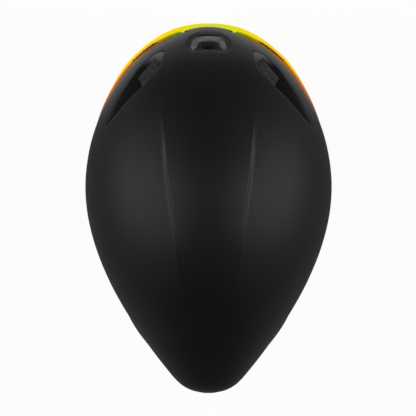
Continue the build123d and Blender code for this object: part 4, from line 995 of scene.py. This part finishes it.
drops = np.linspace(-0.02, 1.05, LENS_SAMPLES)
columns = np.linspace(0, 1, LENS_COLUMNS) * LENS_END
margin = inside_lens(visor_point(*np.meshgrid(columns, drops, indexing="ij")))
kept = np.where((margin > 0).any(1))[0]
columns, margin = columns[kept], margin[kept]
first = (margin > 0).argmax(1)
last = len(drops) - 1 - (margin[:, ::-1] > 0).argmax(1)


def crossing(outside, within):
    """The drop at which the margin passes nought, between two neighbouring samples."""
    line = np.arange(len(columns))
    low, high = margin[line, outside], margin[line, within]
    return drops[outside] + (drops[within] - drops[outside]) * low / (low - high)


top_drop = crossing(np.maximum(first - 1, 0), first)
bottom_drop = crossing(np.minimum(last + 1, len(drops) - 1), last)
slot_place = visor_point(columns, np.full_like(columns, SLOT_DROP / BROW_HEIGHT))
gone = np.cumsum(np.linalg.norm(np.diff(slot_place, axis=0, prepend=slot_place[:1]), axis=1))
off_centre = np.abs(gone - np.interp(SLOT_X, slot_place[:, 0], gone)) / SLOT_HALF_LENGTH
slot_half = SLOT_HALF_WIDTH * np.clip(1 - off_centre**6, 0, 1) ** 0.5 / BROW_HEIGHT
slot_drop = np.maximum(SLOT_DROP / BROW_HEIGHT, top_drop + SLOT_BELOW)
slot_drop = np.minimum(slot_drop, (top_drop + bottom_drop) / 2)
lens_drops, lens_lanes = lanes_between(
    [top_drop, slot_drop - slot_half, slot_drop + slot_half, bottom_drop], (12, 4, 54))
lens_along = np.broadcast_to(columns[:, None], lens_drops.shape)
in_slot = ((slot_half[1:] + slot_half[:-1]) > 0)[:, None] & (lens_lanes == 1)
lens_points, lens_faces = both_sides(
    lens_point(lens_along, lens_drops, top_drop[:, None]),
    grid_faces(*lens_drops.shape)[~in_slot])
print("lens:", len(columns), "columns to a side,", int(in_slot[:, 12].sum()), "of them at the slot")

# %% [markdown]
# ### Mirror coat of the lens
# The coat is a thin metal film whose colour changes with its thickness. It runs from a
# greenish yellow at the nose through yellow and orange to red at the temples, and is warmer
# near the top edge. A colour by viewing angle would slide when the helmet turns, so it is
# tied to places on the lens and stays put in any view.

# %% Lens finish
LIME, YELLOW, ORANGE = (0.72, 0.86, 0.0, 1), (1.0, 0.82, 0.0, 1), (1.0, 0.33, 0.0, 1)
RED, DEEP_RED = (0.62, 0.035, 0.004, 1), (0.30, 0.012, 0.02, 1)
coat = Finish("fire_mirror_coat", Metallic=0.85, Specular_IOR_Level=0.1)
coat.shader.inputs["Specular Tint"].default_value = (1.0, 0.80, 0.0, 1)
place = coat.place()
x, y, z = (coat.axis(name, place) for name in "XYZ")
below = (BROW_HEIGHT + BROW_SLOPE * NOSE_Y) * MM - y * BROW_SLOPE - z
wander = (coat.noise(9, 2) - 0.5) * 0.010
front = coat.between(abs(x) + wander, 0.006, 0.050)
band = coat.between(below + wander * 0.3, 0.0035, 0.0105)
side = coat.between(y + wander, -0.138, -0.108)
warm = coat.mix(band + (1 - coat.between(abs(x), 0.026, 0.060)), ORANGE, YELLOW)
tinted = coat.mix(front, LIME, warm)
tinted = coat.mix(coat.between(below, 0.030, 0.060), tinted, ORANGE)
tinted = coat.mix(side, tinted, RED)
tinted = coat.mix(coat.between(y, -0.100, -0.070), tinted, DEEP_RED)
coat.set("Base Color", tinted)
coat.set("Roughness", 0.13 + coat.noise(60, 2) * 0.05)
thicken(new_piece("mirror_visor", lens_points, lens_faces, coat.material, "visor",
                  ["visor_lens"]), VISOR_WALL, smoke_lens)

# %% [markdown]
# ## Pads
# Comfort pads are foam in a black knitted cover, fixed to the liner by their backs. A knit's
# loops are about a millimetre wide. Modelled yarn would be lost at this size, so a pattern of
# cells makes the loops, and fine noise makes the fuzz that stands between them.

# %% Knit finish
knit = Finish("black_knit_cover", Roughness=0.9, Sheen_Weight=0.3, Specular_IOR_Level=0.2)
loops = knit.cells(1 / 0.0011)
fuzz = knit.noise(520, 3)
knit.set("Base Color", knit.mix(loops * 0.6 + fuzz * 0.4, grey(0.010), grey(0.034, 0.02)))
knit.bump((1 - loops) + fuzz * 0.5, 0.00012)
tell("pad", knit.material)

# %% [markdown]
# ### From a frame's pad to a soft one
# A frame's node is never changed, so each pad starts as a copy of it, with its doubled points
# made one. Modelling each pad again would risk leaving its place.

# %% Helpers for soft pieces


def merged_copy(node, name):
    """A copy of a frame node's mesh, with its doubled points merged, as an object of its own."""
    mesh = frame["nodes"][node].data.copy()
    mesh.transform(frame["nodes"][node].matrix_world)
    shape = bmesh.new()
    shape.from_mesh(mesh)
    bmesh.ops.remove_doubles(shape, verts=shape.verts, dist=1e-5)
    shape.to_mesh(mesh)
    shape.free()
    return placed(name, mesh)


def settle(piece):
    """Turn what a piece's modifiers show now into its own mesh."""
    shown = piece.evaluated_get(bpy.context.evaluated_depsgraph_get())
    mesh = bpy.data.meshes.new_from_object(shown)
    piece.modifiers.clear()
    piece.data = mesh


def vectors(piece, key="co"):
    """A mesh's points or normals as an array."""
    values = np.empty(len(piece.data.vertices) * 3, dtype=np.float32)
    piece.data.vertices.foreach_get(key, values)
    return values.reshape(-1, 3)


def dress(piece, node, body):
    """Round a pad off, and tie it to its body and the node that it stands for."""
    finer = piece.modifiers.new("finer", "SUBSURF")
    finer.levels = finer.render_levels = 1
    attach(piece, body)
    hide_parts(node)


# %% [markdown]
# ### Air under the cover
# On the real pad the cover is pulled down along stitched lines, and swells between them. A
# cloth simulation gives that: the back and the stitched lines are held, air pressure fills
# the rest, and the travel of each point is capped so that no pad grows out of its place.

# %% Cushions
HEAD_CENTRE = (0, -0.040, 0.072)
VOXEL, TRAVEL, PRESSURE, STEPS = 1.7, 1.4, 4.0, 20
BACK_FACING, STITCH_REACH = 0.35, 0.6


def cushion(node, body, fill, back=None, stitches=()):
    """Fill a pad with air. Its back is the side that looks away from the head's centre, or
    the way that is given, and stitches are places along an axis where its face is held."""
    piece = merged_copy(node, node + "_cushion")
    even = piece.modifiers.new("even", "REMESH")
    even.mode = "VOXEL"
    even.voxel_size = VOXEL * MM
    relaxed = piece.modifiers.new("relaxed", "SMOOTH")
    relaxed.factor, relaxed.iterations = 0.5, 3
    settle(piece)
    rest, normal = vectors(piece), vectors(piece, "normal")
    away = np.broadcast_to(back, rest.shape) if back else rest - HEAD_CENTRE
    away = away / np.linalg.norm(away, axis=1, keepdims=True)
    held = (normal * away).sum(1) > BACK_FACING
    for axis, places in stitches:
        for place in places:
            held |= np.abs(rest[:, axis] - place * MM) < VOXEL * MM * STITCH_REACH
    piece.vertex_groups.new(name="held").add(np.where(held)[0].tolist(), 1.0, "REPLACE")
    cloth = piece.modifiers.new("air", "CLOTH")
    cloth.settings.vertex_group_mass = "held"
    cloth.settings.use_pressure = True
    cloth.settings.uniform_pressure_force = PRESSURE
    cloth.settings.effector_weights.gravity = 0
    for step in range(1, STEPS + 1):
        bpy.context.scene.frame_set(step)
    settle(piece)
    moved = vectors(piece) - rest
    far = np.linalg.norm(moved, axis=1, keepdims=True)
    capped = rest + moved * np.minimum(1, TRAVEL * MM / np.maximum(far, 1e-9))
    piece.data.vertices.foreach_set("co", capped.ravel())
    piece.data.update()
    bpy.context.scene.frame_set(1)
    print(node, "swelled by", round(float(far.max()) / MM, 2), "mm at most before the cap")
    wear(piece, knit.material)
    piece.data.shade_smooth()
    dress(piece, node, body)
    return piece


def pad_pair(name, body, fill, **how):
    """A left pad, and its mirror image for the right."""
    piece = cushion(f"{name}_left", body, fill, **how)
    mesh = piece.data.copy()
    mesh.vertices.foreach_set("co", (vectors(piece) * (-1, 1, 1)).ravel())
    mesh.flip_normals()
    dress(placed(f"{name}_right_cushion", mesh), f"{name}_right", body)


# %% [markdown]
# ### Each pad in its turn
# The brow pad is long and thin, stitched across in four places so that it bends round the
# forehead. The crown pads are narrow, with two stitches, the side and ear pads are wide and
# soft, the nape pads are small and firm, and the chin pad is a soft sleeve on the strap. A
# pad on the left makes the one on the right, because the simulation need run only once.

# %% All ten pads
cushion("brow_pad", "helmet", 0.7, stitches=[(0, (-42, -14, 14, 42))])
pad_pair("crown_pad", "helmet", 0.6, stitches=[(1, (-56, -24))])
pad_pair("side_pad", "helmet", 0.6, stitches=[(1, (-54, -30))])
pad_pair("ear_pad", "helmet", 0.75, stitches=[(1, (-32,))])
pad_pair("nape_pad", "cradle", 0.8, back=(0, 1, 0))
cushion("chin_pad", "helmet", 0.6, back=(0, 0, -1))

# %% [markdown]
# ## Webbing
# The straps are flat woven polyester, fifteen millimetres wide, with a ribbed face and a
# plain bound edge. A weave on the object's coordinates would cut across a strap that bends,
# so it is worked out from two lengths kept with every point, across the strap and along it,
# and the yarn follows each bend.

# %% Webbing finish
woven = Finish("black_woven_webbing", Roughness=0.82, Sheen_Weight=0.2, Specular_IOR_Level=0.25)
lay = woven.lay()
over, down = woven.axis("X", lay), woven.axis("Y", lay)
rib = (over * 7.5).maths("SINE") * (down * 4.2 + (over * 3.75).maths("SINE")).maths("SINE")
edge = woven.between(abs(over), 5.9, 6.3)
weave = rib * (1 - edge * 0.7) + edge * 0.4
woven.set("Base Color", woven.mix(weave * 0.5 + 0.5, grey(0.008), grey(0.030)))
woven.bump(weave, 0.00010)
tell("webbing", woven.material)

# %% [markdown]
# ### Routes of the straps
# On each side a front strap leaves the temple and a rear one leaves the nape, both go down to
# the divider under the ear, and the chin strap goes on from there to the buckle. A bevelled
# curve would twist at will, so each route says where the strap is and which way its face
# looks, and a rounded oblong is swept along a smooth curve through it.

# %% Straps
STRAP_WIDTH, STRAP_THICKNESS, STRAP_ROWS, STRAP_RING = 15.0, 1.2, 80, 36
# each strap's route on the left: places, then the way that its face looks there
FRONT_STRAP = np.array([
    (68.4, -87.6, 69.0, 0.91, -0.41, 0), (70.4, -79.0, 57.0, 0.93, -0.36, 0),
    (70.6, -67.0, 46.0, 0.98, -0.20, 0), (67.0, -53.0, 40.5, 1, 0, 0),
    (62.6, -41.5, 37.0, 1, 0, 0), (61.0, -35.2, 32.0, 1, 0, 0), (61.0, -35.2, 26.9, 1, 0, 0),
])
REAR_STRAP = np.array([
    (64.2, 14.5, 56.0, 0.86, 0.51, 0), (68.6, 6.0, 47.0, 0.95, 0.31, 0),
    (70.2, -2.5, 39.5, 1, 0.1, 0), (66.4, -12.0, 34.0, 1, 0, 0),
    (61.0, -18.8, 31.5, 1, 0, 0), (61.0, -18.8, 26.9, 1, 0, 0),
])
CHIN_STRAP = np.array([
    (61.0, -27.0, 6.2, 1, 0, 0), (59.9, -27.0, 4.0, 0.85, 0, 0.53),
    (57.0, -27.0, 2.6, 0.35, 0, 0.94), (50.0, -27.0, 2.2, 0, 0, 1),
    (40.0, -27.0, 2.5, -0.1, 0, 0.99), (34.0, -27.0, 4.6, -0.2, 0, 0.98),
    (30.2, -27.0, 6.0, 0, 0, 1), (26.0, -27.0, 6.0, 0, 0, 1),
])


def unit(rows):
    """Vectors of length one."""
    return rows / np.linalg.norm(rows, axis=-1, keepdims=True)


def ribbon(route):
    """A rounded oblong swept along a curve through the route, closed at both ends: the cosine
    and sine of a turn, raised to powers under 1, give the way across and the way out. Returns
    its points, its cells and each point's lengths across and along the strap."""
    gone = np.cumsum(np.linalg.norm(np.diff(route[:, :3], axis=0, prepend=route[:1, :3]), axis=1))
    steps = np.linspace(0, gone[-1], STRAP_ROWS)
    values = through_rows(np.column_stack([gone, route]), steps)
    place, face = values[:, :3], values[:, 3:]
    run = unit(np.gradient(place, steps, axis=0))
    over = unit(np.cross(run, face))
    out = np.cross(over, run)
    turn = np.linspace(0, 2 * np.pi, STRAP_RING + 1)
    lie = np.sign(np.cos(turn)) * np.abs(np.cos(turn)) ** 0.35 * STRAP_WIDTH / 2
    lift = np.sign(np.sin(turn)) * np.abs(np.sin(turn)) ** 0.7 * STRAP_THICKNESS / 2
    row = np.concatenate([[0], np.arange(STRAP_ROWS), [STRAP_ROWS - 1]])
    grow = np.ones(len(row))
    grow[[0, -1]] = 0
    lie, lift = grow[:, None] * lie, grow[:, None] * lift
    points = place[row, None] + lie[..., None] * over[row, None] + lift[..., None] * out[row, None]
    lay = np.stack([lie, np.broadcast_to(steps[row, None], lie.shape)], -1)
    return points.reshape(-1, 3), grid_faces(*lie.shape).reshape(-1, 4), lay.reshape(-1, 2)


def strap(name, route, side, node, body="helmet"):
    """Make one side's strap from its route on the left, with its cells turned outwards: the
    volume that they enclose says which way they look."""
    points, faces, lay = ribbon(route)
    points = points * (side, 1, 1)
    a, b, c, d = (points[faces[:, k]] for k in range(4))
    if (np.cross(b, c) * a + np.cross(c, d) * a).sum() < 0:
        faces = faces[:, ::-1]
    points, faces, lay = welded(points, faces, carried=lay)
    return new_piece(name, points, faces, woven.material, body, [node], lay)


for label, side in SIDES:
    strap(f"webbing_front_{label}", FRONT_STRAP, side, f"front_strap_{label}")
    strap(f"webbing_rear_{label}", REAR_STRAP, side, f"rear_strap_{label}")
strap("webbing_chin_left", CHIN_STRAP, 1, "chin_strap_left")
chin = strap("webbing_chin_right", CHIN_STRAP, -1, "chin_strap_right", None)
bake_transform(chin)

# %% [markdown]
# ## Temple bands
# Each band is a thin strip of nylon that is flexed by the dial: one end is pinned at the
# temple and the other is pulled by its rack. Riding on one body it would tear off the other,
# so a copy of the frame's band is made, and it is tied to no body.

# %% Copies of the bands
SHARP_EDGE = 0.6
for label, side in SIDES:
    band = merged_copy(f"temple_band_{label}", f"flexing_band_{label}")
    wear(band, band_nylon)
    band.data.shade_smooth()
    band.data.set_sharp_from_angle(angle=SHARP_EDGE)
    side * 0.062
    side * 0.044
    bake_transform(band)
    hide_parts(f"temple_band_{label}")
    print(band.name, "has", len(band.data.vertices), "points")

# %% [markdown]
# ## Finishes for the frame's own pieces
# Small mouldings already have their right shape in the frame. Remaking them would gain
# nothing, so they stay and only get a finish. Slots in the record say which is which, and
# the dial, the racks and the visor's carriers have one of their own. Pads and straps never
# show as nodes, because the soft pieces stand for them.

# %% Dress the nodes that stay
by_slot = {
    "skin": shell_skin, "lower_skin": lower_skin, "foam": bead_foam, "intake": dish_plastic,
    "visor": coat.material, "seal": seal_rubber, "magnet": nickel, "hardware": nylon,
    "screw": steel, "pad": nylon, "webbing": nylon,
}
special = {"fit_dial": dial_nylon, "rack_left": band_nylon, "rack_right": band_nylon}
special |= {f"visor_carrier_{place}": nylon for place in ("nose", "left", "right")}
for part in frame["record"]["subparts"]:
    finish = special.get(part["node"], by_slot[part["material_slot"]])
    wear(frame["nodes"][part["node"]], finish)

# %% [markdown]
# ## Studio
# The photograph looks straight down in a white studio: long soft boxes to the left and right,
# a dark ceiling, and a white table. A bright world would be simpler, but would lift the black
# skin to grey. So the table glows, and only for the camera and in reflections: it looks
# white, keeps the object's shadow and throws no light on the helmet. In reflections the glow
# is strongest just ahead of the visor.

# %% White table
TABLE_HALF, TABLE_DROP, TABLE_GLOW = 6, 0.0005, 0.95
corners = [(x * TABLE_HALF, y * TABLE_HALF, -TABLE_DROP)
           for x, y in ((-1, -1), (1, -1), (1, 1), (-1, 1))]
table = bpy.data.meshes.new("studio_floor")
table.from_pydata(corners, [], [(0, 1, 2, 3)])
floor = placed("studio_floor", table)
paper = Finish("white_table", Roughness=0.9)
camera_ray, glossy_ray, clear_ray = (
    paper.node("LightPath", output=f"Is {name} Ray") for name in
    ("Camera", "Glossy", "Transmission"))
# For glossy rays the table's colour drops to a dark grey: painted shade that dims the table in the
# helmet's reflections.
paper.set("Base Color", paper.mix(glossy_ray, grey(0.8), grey(0.30)))
ahead = paper.between(paper.axis("Y"), -0.135, -0.095, 1.0, 0.12)
ahead = ahead * paper.between(abs(paper.axis("X")), 0.12, 0.20, 1.0, 0.1)
glow = paper.node("Emission", inputs={"Color": grey(1.0)})
lit = Wire(paper.tree, paper.shader.outputs[0])
share = (camera_ray + (glossy_ray + clear_ray) * ahead) * TABLE_GLOW
shown = paper.node("MixShader", inputs={0: share, 1: lit, 2: glow})
feed(paper.tree, paper.tree.nodes["Material Output"].inputs["Surface"], shown)
wear(floor, paper.material)
print("table:", 2 * TABLE_HALF, "m wide")

# %% [markdown]
# The world is white where the camera sees it, and lights the helmet only faintly: at full
# level near the horizon, and hardly at all from the ceiling, which keeps the crown black.

# %% Dark ceiling
WORLD_LIGHT = 0.12
world = bpy.data.worlds.new("studio")
bpy.context.scene.world = world
world.use_nodes = True
sky = Web(world.node_tree)
upward = sky.axis("Z", sky.node("TexCoord", output="Generated"))
level = sky.between(upward, 0.02, 0.45, 1.0, 0.015)
seen = sky.node("LightPath", output="Is Camera Ray")
background = sky.tree.nodes["Background"]
background.inputs["Color"].default_value = grey(1.0)
feed(sky.tree, background.inputs["Strength"], seen + (1 - seen) * level * WORLD_LIGHT)
print("world light at the horizon:", WORLD_LIGHT)

# %% [markdown]
# Two long boxes stand beside the helmet and draw the light on its flanks and on the walls of
# the spine. Point lamps would draw dots there.

# %% Soft boxes
BOX_PLACE, BOX_SIZE, BOX_POWER, BOX_AIM = (1.6, -0.18, 1.2), (1.5, 2.7), 37, (0, 0, 0.08)
for label, side in SIDES:
    lamp = bpy.data.lights.new(f"box_{label}", "AREA")
    lamp.shape = "RECTANGLE"
    lamp.size, lamp.size_y = BOX_SIZE
    lamp.energy = BOX_POWER
    box = placed(lamp.name, lamp)
    box.location = np.array(BOX_PLACE) * (side, 1, 1)
    away = Vector(np.array(BOX_PLACE) * (side, 1, 1) - BOX_AIM)
    box.rotation_euler = away.to_track_quat("Z", "Y").to_euler()
    print(box.name, "gives", BOX_POWER, "W")

# %% [markdown]
# The camera hangs high above the helmet, nose up in the picture. Its lens is worked out so
# that one pixel covers what it covers in the photograph at the height of the widest line.

# %% Overhead camera
PIXELS, PIXEL_WIDTH, SENSOR_WIDTH = 416, 0.9355 * MM, 36
CAMERA_HEIGHT, PLAN_HEIGHT, CAMERA_SHIFT = 3.6, 0.085, 0.0005
overhead = bpy.data.cameras.new("overhead")
overhead.sensor_width = SENSOR_WIDTH
overhead.lens = SENSOR_WIDTH * (CAMERA_HEIGHT - PLAN_HEIGHT) / (PIXELS * PIXEL_WIDTH)
overhead.clip_end = 50
camera = placed("overhead", overhead)
camera.location = (CAMERA_SHIFT, CAMERA_SHIFT, CAMERA_HEIGHT)
camera.rotation_euler = (0, 0, np.pi)
bpy.context.scene.camera = camera
bpy.context.scene.view_settings.view_transform = "Standard"
print("lens:", round(overhead.lens), "mm, at", CAMERA_HEIGHT, "m")
